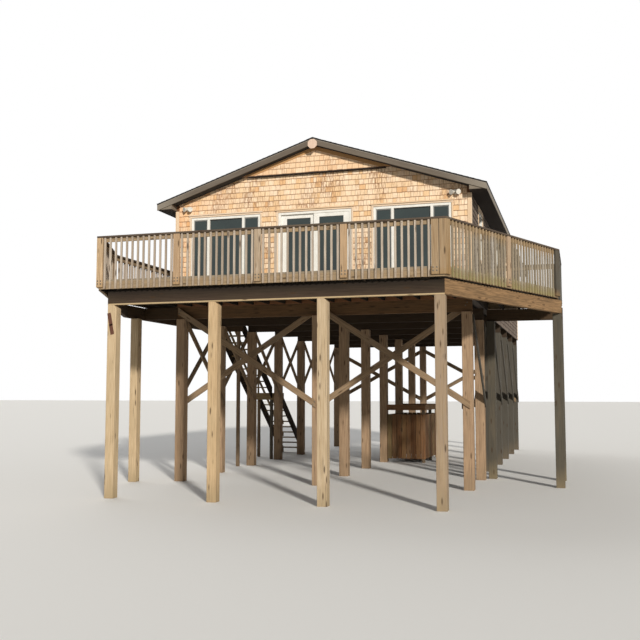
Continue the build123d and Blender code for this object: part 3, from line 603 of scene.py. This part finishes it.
def beamTone(middle):
    # the front beam takes the darkest tone, which also gives it a painted shadow under the deck's edge and a
    # painted lit strip at its foot; the one under the right diagonal is clean and orange
    if middle.y < deckLine[2].y + 0.3:
        return 0.04
    if middle.x > 3.7 and middle.y < 0:
        return 0.88
    return 0.3


def girderTone(middle):
    # painted light and shade: the girder over the front row gets a light tone as if the sun reaches it,
    # those behind it a dark one
    return 0.7 if middle.y < 0.3 else 0.14


def pilingTone(middle):
    # painted shade: dark grey beside the house on the right; dull at the right corner, paler along the front
    if middle.y > -3:
        return 0.02 if middle.x > 3 else 0.6
    if middle.x > 3:
        return 0.3
    return (0.55, 0.8, 1.0)[min(2, round((middle.x + 3.4) / 2.4))]


def footTone(middle):
    # painted shade: the row down the right side is made dark grey, the others are tan
    return 0.05 if middle.x > 3 and middle.y > 3 else 0.8


def braceTone(middle):
    # painted shade: dark grey down the right side, like its pilings
    return 0.02 if middle.x > 3 else 0.5 + 0.1 * (round(middle.y + middle.z) % 4)


def postTone(middle):
    # front posts by turns orange-tan and greyer, corner boards tan, the far ones painted shade grey
    if middle.x > 5.2:
        return 0.02
    if middle.y < -3.6 and middle.x < 3.6:
        return (0.95, 0.72, 0.5, 0.8, 0.36)[min(4, max(0, round((middle.x + 3.6) / 1.7)))]
    return 0.3 if middle.y < -3 else 0.56


# name of the piece, finish, width of the worn edge, and what picks the tone, if not chance alone
sticks = {
    "deck_pilings": ("deckPilings", "pilingPine", 0.006, pilingTone),
    "house_pilings": ("housePilings", "housePilingPine", 0.006, footTone),
    "stair_posts": ("stairPosts", "housePilingPine", 0.004),
    "enclosure_posts": ("enclosurePosts", "housePilingPine", 0.004),
    "deck_beams": ("deckBeams", "beamPine", 0.004, beamTone),
    "house_girders": ("houseGirders", "beamPine", 0.004, girderTone),
    "deck_joists": ("deckJoists", "framingPine", 0.002),
    "house_joists": ("houseJoists", "framingPine", 0.002),
    "front_cross_braces": ("frontBraces", "bracePine", 0.003, braceTone),
    "rear_cross_braces": ("rearBraces", "bracePine", 0.003, braceTone),
    "side_cross_braces": ("sideBraces", "bracePine", 0.003, braceTone),
    "stair_stringers": ("stairStringers", "framingPine", 0.003),
    "stair_treads": ("stairTreads", "treadPine", 0.003),
    "stair_landings": ("stairLanding", "treadPine", 0.003),
    "stair_railings": ("stairGuard", "railPine", 0.003),
    "enclosure_boards": ("enclosureBoards", "fencePine", 0.002),
    "enclosure_rails": ("enclosureRails", "framingPine", 0.002),
    "deck_rim": ("deckRim", "rimPine", 0.003),
    "top_rails": ("topRails", "rimPine", 0.003),
    "rail_caps": ("railCaps", "capPine", 0.004),
    "railing_posts": ("railingPosts", "postPine", 0.004, postTone),
    "corner_posts": ("cornerPosts", "postPine", 0.003, postTone),
    "front_balusters": ("frontPickets", "picketPine", 0.002),
    "left_balusters": ("leftPickets", "picketPine", 0.002),
    "diagonal_balusters": ("diagonalPickets", "mossyPicketPine", 0.002),
    "side_balusters": ("sidePickets", "greyPicketPine", 0.002),
    "rake_boards": ("rakeBoards", "fasciaPaint", 0.003),
    "eave_fascias": ("eaveFascias", "fasciaPaint", 0.003),
    "soffits": ("soffitBoards", "soffitStain", 0.001),
    "eave_returns": ("eaveReturns", "returnPaint", 0.002),
    "corner_boards": ("cornerBoards", "trimPaint", 0.003),
    "front_casings": ("frontCasings", "trimPaint", 0.003),
    "apex_medallion": ("apexMedallion", "medallionPaint", 0.004),
    "front_window_frames": ("frontWindowFrames", "vinyl", 0.004),
    "door_frame": ("doorFrame", "vinyl", 0.004),
    "door_panels": ("doorPanels", "vinyl", 0.004),
    "window_sashes": ("windowSashes", "sash", 0.002),
    "side_window_frames": ("sideWindowFrames", "vinyl", 0.004),
    "entry_door": ("entryDoor", "doorPaint", 0.003),
}
dressed = {}
middles = {}
for node, (_, _, width, *toneOf) in sticks.items():
    dressed[node], middles[node] = sticksOf(node, width, *toneOf)
print("timber and frames")

# Nails through the pickets, and carriage bolts through the posts and the front braces' ends
fixings = {
    "nail": 0.0045, "nailProud": 0.0015, "nailHeights": (4.4, 5.34), "picketFace": 0.038,
    "bolt": 0.016, "boltProud": 0.003, "postHeights": (4.41, 4.47), "postShift": 0.035, "postFace": 0.046,
    "braceHigh": 4.145, "braceLow": 1.915, "braceIn": 0.055, "braceFoot": 0.06, "braceShift": 0.02,
    "braceSlant": 1.6, "rim": 0.35, "dome": 0.6,
}


def stud(name, radius, proud, sides):
    # a shallow domed head that faces minus Y
    clear()
    bpy.ops.mesh.primitive_cylinder_add(
        vertices=sides, radius=radius, depth=proud, location=(0, -proud / 2, 0),
        rotation=(math.radians(90), 0, 0))
    made = bpy.context.object
    bpy.ops.object.transform_apply(location=True, rotation=True)
    pick(made.data.polygons, lambda face: face.normal.y < -0.9)
    bpy.ops.mesh.inset(thickness=radius * fixings["rim"], depth=proud * fixings["dome"])
    bpy.ops.object.mode_set(mode="OBJECT")
    made.name = name
    return made


def facing(normal):
    return Matrix.Rotation(math.atan2(normal.x, -normal.y), 4, "Z")


def againstRun(point, reach):
    # a place on the outer face of a picket or post, the way along its run, and the turn of its fixings
    flat = Vector((point.x, point.y, 0))
    nearest = None
    for run, (start, end) in enumerate(zip(deckLine, deckLine[1:])):
        step = (end - start).normalized()
        along = (flat - start).dot(step)
        gap = (start + step * min(max(along, 0), (end - start).length) - flat).length
        if nearest is None or gap < nearest - hair:
            nearest = gap
            out = outwardOf(run)
            found = (start + step * along + out * reach, step, facing(out))
    return found


nail = stud("nail", fixings["nail"], fixings["nailProud"], 6)
bolt = stud("bolt", fixings["bolt"], fixings["boltProud"], 10)
parts = []
for node in ("front_balusters", "left_balusters", "diagonal_balusters", "side_balusters"):
    for middle in middles[node]:
        foot, _, turn = againstRun(middle, fixings["picketFace"])
        for z in fixings["nailHeights"]:
            parts.append(copyOf(nail, Matrix.Translation((foot.x, foot.y, z)) @ turn))
picketNails = joined(parts)
parts = []
for middle in middles["railing_posts"]:
    foot, step, turn = againstRun(middle, fixings["postFace"])
    for z in fixings["postHeights"]:
        for shift in (-fixings["postShift"], fixings["postShift"]):
            spot = foot + step * shift
            parts.append(copyOf(bolt, Matrix.Translation((spot.x, spot.y, z)) @ turn))
braceLow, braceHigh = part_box("front_cross_braces")
braceEnd = braceHigh.x - fixings["braceIn"]
for x, z in (
    (-braceEnd, fixings["braceHigh"]), (-fixings["braceFoot"], fixings["braceLow"]),
    (fixings["braceFoot"], fixings["braceLow"]), (braceEnd, fixings["braceHigh"]),
):
    for shift in (-fixings["braceShift"], fixings["braceShift"]):
        place = Matrix.Translation((x + shift, braceLow.y, z + shift * fixings["braceSlant"]))
        parts.append(copyOf(bolt, place))
bolts = joined(parts)
remove(nail)
remove(bolt)
print("fixings")

# Rusty strap ends let into the head of the first front piling: way in from the deck's corner, height, length
strap = {
    "wide": 0.085, "thick": 0.003, "lean": -12, "worn": 0.001,
    "ends": ((0.216, 3.68, 0.27), (0.256, 3.47, 0.22)),
}
parts = []
for along, z, tall in strap["ends"]:
    place = Matrix.Translation((deckLine[2].x + along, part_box("deck_beams")[0].y - strap["thick"] / 2, z))
    turn = place @ Matrix.Rotation(math.radians(strap["lean"]), 4, "Y")
    parts.append(board((0, 0, 0), (strap["wide"], strap["thick"], tall), turn))
rustyStraps = joined(parts)
ease(rustyStraps, strap["worn"])

# Handle and track of the sliding door
slider = {
    "handle": (0.022, 0.03, 0.26), "in": 0.06, "height": 1.0, "seat": 0.0003, "worn": 0.008,
    "track": (0.006, 0.012), "rows": (0.03, 0.06), "trackFoot": 0.062, "short": 0.13,
}
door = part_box("door_panels")
size = slider["handle"]
x = door[1].x - slider["in"]
y = door[0].y - size[1] / 2 - slider["seat"]
grip = board((x, y, house["floor"] + slider["height"]), size)
ease(grip, slider["worn"])
parts = [grip]
thick, tall = slider["track"]
for shift in slider["rows"]:
    z = house["floor"] + slider["trackFoot"] + tall / 2
    place = (surround["units"][1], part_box("door_frame")[0].y + shift, z)
    parts.append(board(place, (2 * unitHalf - slider["short"], thick, tall)))
doorHardware = joined(parts)

# Rubber gaskets round the panes of the front
gasket = {"wide": 0.011, "thick": 0.004, "worn": 0.0005}
wide, thick = gasket["wide"], gasket["thick"]
rings = []
for node in ("front_window_glass", "door_glass"):
    panes, _ = sticksOf(node, gasket["worn"])
    shape(panes, bpy.ops.mesh.separate, type="LOOSE")
    for pane in bpy.context.selected_objects:
        points = [v.co for v in pane.data.vertices]
        low = Vector([min(p[n] for p in points) for n in range(3)])
        high = Vector([max(p[n] for p in points) for n in range(3)])
        middle = (low + high) / 2
        y = low.y - thick / 2
        for x in (low.x + wide / 2, high.x - wide / 2):
            rings.append(board((x, y, middle.z), (wide, thick, high.z - low.z)))
        for z in (low.z + wide / 2, high.z - wide / 2):
            rings.append(board((middle.x, y, z), (high.x - low.x - 2 * wide, thick, wide)))
        remove(pane)
paneGaskets = joined(rings)

# Knob and hinges of the side door
latch = {
    "knob": 0.03, "out": 0.045, "in": 0.06, "height": 0.95, "stem": 0.014,
    "hinge": (0.012, 0.014, 0.1), "hingeIn": 0.012, "hingeHeights": (0.2, 1.0, 1.85),
}
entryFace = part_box("entry_door")[0].x
entryMiddle = wallLine + entry["place"]
knobY = entryMiddle + entry["half"] - latch["in"]
knobZ = house["floor"] + latch["height"]
clear()
bpy.ops.mesh.primitive_uv_sphere_add(
    segments=16, ring_count=10, radius=latch["knob"], location=(entryFace - latch["out"], knobY, knobZ))
knob = bpy.context.object
bpy.ops.object.transform_apply(location=True)
bpy.ops.object.shade_smooth()
clear()
bpy.ops.mesh.primitive_cylinder_add(
    vertices=16, radius=latch["stem"], depth=latch["out"], rotation=(0, math.radians(90), 0),
    location=(entryFace - latch["out"] / 2, knobY, knobZ))
stem = bpy.context.object
bpy.ops.object.transform_apply(location=True, rotation=True)
parts = [knob, stem]
x = entryFace - latch["hinge"][0] / 2
y = entryMiddle - entry["half"] + latch["hingeIn"]
for z in latch["hingeHeights"]:
    parts.append(board((x, y, house["floor"] + z), latch["hinge"]))
entryHardware = joined(parts)
remove(plank)
print("hardware")

# Materials
flaws = {"knot": "#3d2c1b", "check": "#2c2118"}


def layer(mat, under, code, field, low, high, most, share=None):
    # a colour laid over another: none of it where a field is at low, most of it at high
    amount = add(mat, "MapRange", {
        "Value": field, "From Min": low, "From Max": high, "To Max": most}).outputs[0]
    if share is not None:
        amount = add(mat, "Math", {0: amount, 1: share}, operation="MULTIPLY").outputs[0]
    over = {0: amount, 6: under, 7: colour(code)}
    return add(mat, "Mix", over, data_type="RGBA", blend_type="MIX").outputs[2]


def fibresAt(mat, where, scale, detail):
    # cloudy streaks, stretched by their scale along the wood
    stretched = add(mat, "Mapping", {"Vector": where, "Scale": scale}).outputs[0]
    made = add(mat, "TexNoise", {"Vector": stretched, "Scale": 1.0, "Detail": detail, "Roughness": 0.62})
    return made.outputs["Fac"]


def timber(name, look):
    # sawn pine left to the weather: long fibres, grey patches, knots and drying checks along each board
    mat, shader = newMaterial(name)
    line = add(mat, "Attribute", attribute_name="grain").outputs["Vector"]
    own = add(mat, "Attribute", attribute_name="tone").outputs["Vector"]
    own = add(mat, "SeparateXYZ", {"Vector": own}).outputs
    place = add(mat, "TexCoord").outputs["Object"]
    place = add(mat, "SeparateXYZ", {"Vector": place}).outputs
    ramp = add(mat, "ValToRGB", {"Fac": own["X"]})
    rampColours(ramp, look["tones"])
    # fibres about 20 mm wide, drawn coarser to show, and patches about 150 mm wide; sticks of the lowest
    # tones, among them the painted shade grey ones, keep little of either
    fibres = fibresAt(mat, line, (2.2, 55, 55), 6.0)
    patches = fibresAt(mat, line, (1.1, 6, 6), 3.0)
    live = add(mat, "MapRange", {
        "Value": own["X"], "From Min": 0.1, "From Max": 0.3, "To Min": look.get("live", 1.0), "To Max": 1.0})
    live = live.outputs[0]
    result = layer(mat, ramp.outputs["Color"], look["streak"], fibres, 0.38, 0.68, look["fibre"], live)
    result = layer(mat, result, look["weathered"], patches, 0.46, 0.7, look["grey"], live)
    # stains and painted light by height, full at the first and gone at the second: ragged stains, or, kept
    # to the darkest sticks, the front beam's painted shadow and painted lit strip
    shift = add(mat, "MapRange", {"Value": own["Y"], "To Min": -0.06, "To Max": 0.06}).outputs[0]
    for full, gone, code, most, darkest in look.get("stains", ()):
        level, share = place["Z"], None
        if darkest:
            share = add(mat, "MapRange", {
                "Value": own["X"], "From Min": darkest, "From Max": darkest + 0.02,
                "To Min": 1.0, "To Max": 0.0}).outputs[0]
        else:
            level = add(mat, "Math", {0: level, 1: shift}, operation="ADD").outputs[0]
        result = layer(mat, result, code, level, gone, full, most, share)
    if "ends" in look:
        # paler towards the eaves
        reach = add(mat, "Math", {0: place["X"]}, operation="ABSOLUTE").outputs[0]
        result = layer(mat, result, look["ends"], reach, 3.1, 4.0, 0.8)
    if "under" in look:
        # painted shade: undersides darkened
        normal = add(mat, "NewGeometry").outputs["Normal"]
        down = add(mat, "SeparateXYZ", {"Vector": normal}).outputs["Z"]
        result = layer(mat, result, look["under"], down, -0.3, -0.7, 0.95)
    # knots half a metre apart, and checks about 8 mm wide and up to 0.8 m long
    spaced = add(mat, "Mapping", {"Vector": line, "Scale": (2.1, 9, 9)}).outputs[0]
    cells = add(mat, "TexVoronoi", {"Vector": spaced, "Scale": 1.0}, feature="F1").outputs["Distance"]
    result = layer(mat, result, flaws["knot"], cells, 0.2, 0.09, look["knots"])
    splits = fibresAt(mat, line, (1.3, 130, 130), 1.0)
    split = add(mat, "MapRange", {
        "Value": splits, "From Min": 0.66, "From Max": 0.7, "To Max": look["checks"]}).outputs[0]
    result = layer(mat, result, flaws["check"], split, 0.0, 1.0, 1.0)
    rough = add(mat, "MapRange", {"Value": fibres, "To Min": 0.75, "To Max": 0.95}).outputs[0]
    height = add(mat, "Math", {0: fibres, 1: split}, operation="SUBTRACT").outputs[0]
    bump = add(mat, "Bump", {"Height": height, "Strength": 0.5, "Distance": 0.003}).outputs[0]
    feed(mat, shader, {"Base Color": result, "Roughness": rough, "Specular IOR Level": 0.2, "Normal": bump})
    return mat


plain = {"fibre": 0.65, "grey": 0.4, "knots": 0.75, "checks": 0.7}
painted = {"fibre": 0.3, "grey": 0.3, "knots": 0.15, "checks": 0.25}


def wood(base, tones, streak, weathered, **more):
    return dict(base, tones=tones, streak=streak, weathered=weathered, **more)


timbers = {
    # posts in the sun: pale gold, dull at the foot, painted shade grey where the tone is lowest
    "pilingPine": wood(plain, [
        (0, "#48453d"), (0.1, "#504c42"), (0.3, "#958370"), (0.55, "#c6b08f"), (0.8, "#c4a984"),
        (1, "#bfab8e"),
    ], "#947a56", "#ab9676", live=0.15, stains=[(0.05, 0.5, "#8a7a5c", 0.5, 0)]),
    # painted shade: the same pine made darker and browner for the posts in the shade
    "housePilingPine": wood(plain, [
        (0, "#48453e"), (0.15, "#524e45"), (0.4, "#8c765f"), (0.8, "#a98d70"), (1, "#a4896b"),
    ], "#6b5540", "#857560", live=0.15, stains=[(0.05, 0.5, "#7d6c54", 0.3, 0)]),
    # near black to clean orange; a painted shadow darkens the front beam upwards from under the deck's edge,
    # above a painted lit strip at its foot
    "beamPine": wood(plain, [
        (0, "#42352a"), (0.08, "#42352a"), (0.2, "#35291c"), (0.7, "#725538"), (1, "#a78660"),
    ], "#2c2219", "#453b2b", stains=[
        (4.29, 4.05, "#0f0c09", 0.9, 0.06), (3.998, 4.012, "#c0a882", 0.9, 0.06)]),
    # painted shade: dark brown for framing that stays in the shade, darker still underneath
    "framingPine": wood(
        plain, [(0, "#2a2018"), (0.5, "#33281d"), (1, "#3d3022")], "#1d1610", "#352f26", under="#15100c"),
    # thin boards, brown, or painted shade grey at the lowest tones
    "bracePine": wood(plain, [
        (0, "#48453e"), (0.1, "#524e45"), (0.3, "#80694f"), (0.6, "#8f775b"), (1, "#9c8468"),
    ], "#5a4735", "#7f7160", live=0.15),
    # walked on, dusty tan
    "treadPine": wood(plain, [(0, "#7a6448"), (0.5, "#8f7753"), (1, "#9d865f")], "#5a4732", "#857c68"),
    # each board another red or green brown
    "fencePine": wood(
        plain, [(0, "#7a5436"), (0.4, "#8a6544"), (0.7, "#786846"), (1, "#996a46")], "#4f3826", "#6d6450"),
    # even tan
    "rimPine": wood(plain, [(0, "#8c775b"), (0.5, "#998366"), (1, "#a58f70")], "#67543d", "#8f806b"),
    # darkened by rain and hands
    "capPine": wood(plain, [(0, "#4d423a"), (0.6, "#5a4d41"), (1, "#6b5d4b")], "#3a3028", "#7f735f"),
    # plain tan
    "railPine": wood(plain, [(0, "#8d7a5f"), (0.5, "#a08a68"), (1, "#ab9673")], "#6f5c42", "#938a79"),
    # painted shade grey to orange tan, yellowed at the foot
    "postPine": wood(plain, [
        (0, "#49463e"), (0.1, "#524e45"), (0.3, "#957b57"), (0.5, "#b5a48e"), (0.6, "#b0967a"),
        (0.8, "#b89a78"), (1, "#cbb08c"),
    ], "#7d5f3f", "#a08c72", live=0.15, stains=[(4.36, 4.5, "#8f7148", 0.5, 0)]),
    # silvery tan with dirty feet
    "picketPine": wood(
        plain, [(0, "#a19282"), (0.5, "#b3a596"), (1, "#c4b7a6")], "#857562", "#9f9484",
        stains=[(4.38, 4.5, "#9b8a76", 0.7, 0)]),
    # orange at the head, green with algae at the foot
    "mossyPicketPine": wood(
        plain, [(0, "#8f8370"), (0.6, "#a39580"), (1, "#b8b0a4")], "#776a55", "#958c7c",
        stains=[(5.3, 5.14, "#a08258", 0.55, 0), (4.36, 4.56, "#897f4c", 0.7, 0)]),
    # even grey, painted shade for the pickets down the right side
    "greyPicketPine": wood(plain, [(0, "#4d4c46"), (0.6, "#5a5851"), (1, "#6b6860")], "#3d3b36", "#625f58"),
    # thin grey-brown paint, paler towards the eaves
    "fasciaPaint": wood(painted, [(0, "#665c51"), (1, "#70665a")], "#51493f", "#7d7468", ends="#8f8679"),
    # painted shade: dark, for the undersides of the eaves and the strip under the upper gable
    "soffitStain": wood(painted, [(0, "#2a2320"), (1, "#342c27")], "#1f1a17", "#3d352e"),
    # the fascia's paint, a little lighter
    "returnPaint": wood(painted, [(0, "#756a5d"), (1, "#857a6b")], "#5d5448", "#8f8576"),
    # pale oiled pine with a pink cast
    "trimPaint": wood(painted, [(0, "#e0c8ac"), (0.5, "#e8d3ba"), (1, "#e2c39e")], "#bb9a75", "#d6bc9c"),
    # honey brown
    "friezePine": wood(painted, [(0, "#b98c5c"), (1, "#c39868")], "#966c45", "#a98058"),
    # chalky pink
    "medallionPaint": wood(painted, [(0, "#d9c0ac"), (1, "#d9c0ac")], "#bd9c84", "#c9ab94"),
    # walked grey above, painted shade below
    "deckPlank": wood(
        plain, [(0, "#857763"), (0.5, "#998a74"), (1, "#aa9c86")], "#6a5c48", "#8d8474", under="#1c1611"),
}
finishes = {name: timber(name, look) for name, look in timbers.items()}


def shingleFinish(name, look):
    # split or pressed shingles: each has its own tone, fibres up it, and painted shade along its butt and
    # its sides
    mat, shader = newMaterial(name)
    own = add(mat, "Attribute", attribute_name="tone").outputs["Vector"]
    parts = add(mat, "SeparateXYZ", {"Vector": own}).outputs
    ramp = add(mat, "ValToRGB", {"Fac": parts["X"]})
    rampColours(ramp, look["tones"])
    place = add(mat, "TexCoord").outputs["Object"]
    moved = add(mat, "VectorMath", {0: own, "Scale": 7.0}, operation="SCALE").outputs[0]
    where = add(mat, "VectorMath", {0: place, 1: moved}, operation="ADD").outputs[0]
    fibres = fibresAt(mat, where, look["scale"], 4.0)
    result = layer(mat, ramp.outputs["Color"], look["streak"], fibres, 0.36, 0.7, look["fibre"])
    if "patch" in look:
        # brown rain streaks in some places, and warmer cedar towards the left end
        rain = fibresAt(mat, place, (1.7, 1.7, 1.2), 3.0)
        rain = add(mat, "MapRange", {"Value": rain, "From Min": 0.48, "From Max": 0.6}).outputs[0]
        result = layer(mat, result, look["patch"], fibres, 0.44, 0.62, 0.85, rain)
        along = add(mat, "SeparateXYZ", {"Vector": place}).outputs["X"]
        result = layer(mat, result, look["warm"], along, -1.8, -3.6, 0.6, parts["Z"])
    local = add(mat, "Attribute", attribute_name="local").outputs["Vector"]
    local = add(mat, "SeparateXYZ", {"Vector": local}).outputs
    # painted shade: darker towards each shingle's butt, and along its sides below
    result = layer(mat, result, look["edge"], local["Z"], 0.14, 0.04, look["butt"])
    aside = add(mat, "Math", {0: local["X"], 1: 0.5}, operation="SUBTRACT").outputs[0]
    aside = add(mat, "Math", {0: aside}, operation="ABSOLUTE").outputs[0]
    result = layer(mat, result, look["edge"], aside, 0.46, 0.5, look["side"])
    bump = add(mat, "Bump", {"Height": fibres, "Strength": 0.6, "Distance": 0.002}).outputs[0]
    feed(mat, shader, {"Base Color": result, "Roughness": 0.88, "Specular IOR Level": 0.2, "Normal": bump})
    return mat


# scale: fibres 17 or 14 mm wide up each cedar shingle and mineral grit of 11 mm, both drawn coarser to show
# edge, butt and side: the colour and amounts of the painted shade at each shingle's butt and sides
shingleLooks = {
    # split cedar that the sun keeps pale: blond to honey, with brown rain streaks
    "splitCedar": {
        "tones": [(0.0, "#f3d6b0"), (0.4, "#f8e3c6"), (0.7, "#f4d9b3"), (0.9, "#ecc797"), (1.0, "#e4b684")],
        "streak": "#cda27a", "fibre": 0.6, "scale": (60, 60, 4), "edge": "#94694a", "butt": 0.8, "side": 0.3,
        "patch": "#8f6242", "warm": "#e5a469"},
    # the upper gable's, warmer and more even
    "gableCedar": {
        "tones": [(0.0, "#ebc79f"), (0.5, "#f0d1ab"), (1.0, "#f3d9b8")],
        "streak": "#cfa27a", "fibre": 0.5, "scale": (60, 60, 4), "edge": "#94694a", "butt": 0.7, "side": 0.3,
        "patch": "#b98e68", "warm": "#ebc79f"},
    # cedar gone grey-brown on the other walls
    "weatheredCedar": {
        "tones": [(0.0, "#5c4f45"), (0.35, "#74655a"), (0.7, "#8a7b6e"), (1.0, "#63574d")],
        "streak": "#4a4039", "fibre": 0.5, "scale": (70, 70, 6), "edge": "#332b26", "butt": 0.7,
        "side": 0.5},
    # asphalt strewn with mineral grit: charcoal, matt and speckled
    "mineralAsphalt": {
        "tones": [(0.0, "#26272a"), (0.5, "#323337"), (1.0, "#3d3d40")],
        "streak": "#1c1d1f", "fibre": 0.5, "scale": (90, 90, 90), "edge": "#151517", "butt": 0.4,
        "side": 0.4},
}
finishes.update({name: shingleFinish(name, look) for name, look in shingleLooks.items()})


def smooth(name, code, roughness, speckle, size):
    # moulded, painted or coated skin: an even colour with faint mottling, gloss from the shader
    mat, shader = newMaterial(name)
    place = add(mat, "TexCoord").outputs["Object"]
    mottle = fibresAt(mat, place, (1 / size, 1 / size, 1 / size), 4.0)
    result = layer(mat, colour(code), speckle, mottle, 0.3, 0.7, 0.5)
    feed(mat, shader, {"Base Color": result, "Roughness": roughness})
    return mat


# colour, roughness, colour and size in metres of the mottling
skins = {
    "vinyl": ("#ebe9e2", 0.35, "#cfcbbd", 0.15),   # extruded white, soft sheen
    "sash": ("#8f918d", 0.4, "#777a77", 0.12),   # extruded grey
    "doorPaint": ("#d9d8d0", 0.4, "#c2c1b6", 0.2),   # brushed enamel
    "lampShell": ("#dcd8cd", 0.35, "#b9b3a4", 0.05),   # moulded, yellowed
    "dripLip": ("#15110f", 0.85, "#231d19", 0.1),   # near black, matt
    "dripHem": ("#8b8274", 0.5, "#a89e90", 0.3),   # coated sheet, grey glints
    "coatedGlass": ("#202b2b", 0.06, "#30403c", 0.7),   # dark, mirrors the sky
    "wallFelt": ("#7d5230", 0.9, "#5c3d25", 0.1),   # shade between shingles
    "greyWallFelt": ("#453c35", 0.9, "#38312c", 0.1),
    "roofFelt": ("#232427", 0.9, "#2f3033", 0.1),
    # painted shade: the house floor's underside is made almost black
    "floorPly": ("#1f1a15", 0.85, "#171310", 0.2),   # almost black underside
    "galvanised": ("#6f6a60", 0.5, "#57493a", 0.02),   # dull zinc, rust blooms
    "rustedStrap": ("#5c3826", 0.85, "#40261a", 0.02),   # iron, red-brown all over
    "darkHardware": ("#2c2a28", 0.35, "#45423e", 0.03),   # black rubber, coated metal
    "satinBrass": ("#a48a55", 0.3, "#86703f", 0.03),   # lacquered, soft gloss
}
finishes.update({name: smooth(name, *look) for name, look in skins.items()})
for name in ("galvanised", "satinBrass"):
    finishes[name].node_tree.nodes["Principled BSDF"].inputs["Metallic"].default_value = 0.8

for node, (name, finish, *_) in sticks.items():
    settle(dressed[node], name, finishes[finish], [node])
for piece, name, finish, slot, *replaced in (
    (frontShingles, "frontShingles", "splitCedar", "cedar_shingle"),
    (gableShingles, "gableShingles", "gableCedar", "cedar_shingle"),
    (leftShingles, "leftShingles", "weatheredCedar", "grey_shingle"),
    (rightShingles, "rightShingles", "weatheredCedar", "grey_shingle"),
    (rearShingles, "rearShingles", "weatheredCedar", "grey_shingle"),
    (roofShingles[-1], "leftRoofShingles", "mineralAsphalt", "asphalt_shingle"),
    (roofShingles[1], "rightRoofShingles", "mineralAsphalt", "asphalt_shingle"),
    (ridgeShingles, "ridgeShingles", "mineralAsphalt", "asphalt_shingle", "ridge_cap"),
    (deckBoards, "deckBoards", "deckPlank", "deck_boards", "deck_floor"),
    (sideCasings, "sideCasings", "trimPaint", "trim_timber"),
    (friezeBoards, "friezeBoards", "friezePine", "trim_timber"),
    (gableDrip, "gableDrip", "soffitStain", "cedar_shingle"),
    (drips["dripLip"], "dripLip", "dripLip", "fascia_timber"),
    (drips["dripHem"], "dripHem", "dripHem", "fascia_timber"),
    (picketNails, "picketNails", "rustedStrap", "railing_timber"),
    (bolts, "bolts", "galvanised", "railing_timber"),
    (rustyStraps, "rustyStraps", "rustedStrap", "piling_timber"),
    (doorHardware, "doorHardware", "darkHardware", "sash_grey"),
    (paneGaskets, "paneGaskets", "darkHardware", "sash_grey"),
    (entryHardware, "entryHardware", "satinBrass", "door_paint"),
):
    settle(piece, name, finishes[finish], replaced)

# CAD nodes that stay, each with a finish of its own
carried = {
    "wallFelt": ("front_wall", "gable_panel"),
    "greyWallFelt": ("left_wall", "right_wall", "rear_wall"),
    "roofFelt": ("left_roof", "right_roof"),
    "floorPly": ("house_floor",),
    "coatedGlass": ("front_window_glass", "door_glass", "side_window_glass"),
    "lampShell": ("flood_lights",),
}
for finish, nodes in carried.items():
    for node in nodes:
        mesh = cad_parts[node].data
        mesh.materials.clear()
        mesh.materials.append(finishes[finish])
print("materials")

# Plain pale floor, low soft sun from the right and a white background
studio = {
    "floor": "#efede8", "size": 400, "sky": 0.2, "skyTint": (0.92, 0.95, 1.0, 1),
    "sun": 3.7, "sunSoft": 4, "sunHeight": 19, "sunSide": 33.3, "sunTint": (1.0, 0.965, 0.91),
    "fill": 1.1, "fillSoft": 60, "fillTilt": 62, "fillSide": 222,
}
clear()
bpy.ops.mesh.primitive_plane_add(size=studio["size"], location=(0, 0, 0))
floor = bpy.context.object
floor.name = "studioFloor"
floorPaint, floorShader = newMaterial("studioFloorPaint")
feed(floorPaint, floorShader, {"Base Color": colour(studio["floor"]), "Roughness": 0.9})
floor.data.materials.append(floorPaint)


def lamp(tilt, side, strength, soft):
    clear()
    bpy.ops.object.light_add(type="SUN", rotation=(math.radians(tilt), 0, math.radians(side)))
    made = bpy.context.object.data
    made.energy = strength
    made.angle = math.radians(soft)
    return made


sun = lamp(90 - studio["sunHeight"], studio["sunSide"], studio["sun"], studio["sunSoft"])
sun.color = studio["sunTint"]
lamp(studio["fillTilt"], studio["fillSide"], studio["fill"], studio["fillSoft"])   # keeps the back readable

world = bpy.data.worlds.new("studio")
bpy.context.scene.world = world
world.use_nodes = True
sky = world.node_tree.nodes["Background"]
feed(world, sky, {"Color": studio["skyTint"], "Strength": studio["sky"]})
white = add(world, "Background", {"Color": (1, 1, 1, 1), "Strength": 1.0}).outputs[0]
path = add(world, "LightPath").outputs
seen = path["Is Camera Ray"]
for ray in ("Is Glossy Ray", "Is Transmission Ray"):
    seen = add(world, "Math", {0: seen, 1: path[ray]}, operation="MAXIMUM").outputs[0]
mixed = add(world, "MixShader", {0: seen, 1: sky.outputs[0], 2: white})
feed(world, world.node_tree.nodes["World Output"], {"Surface": mixed.outputs[0]})
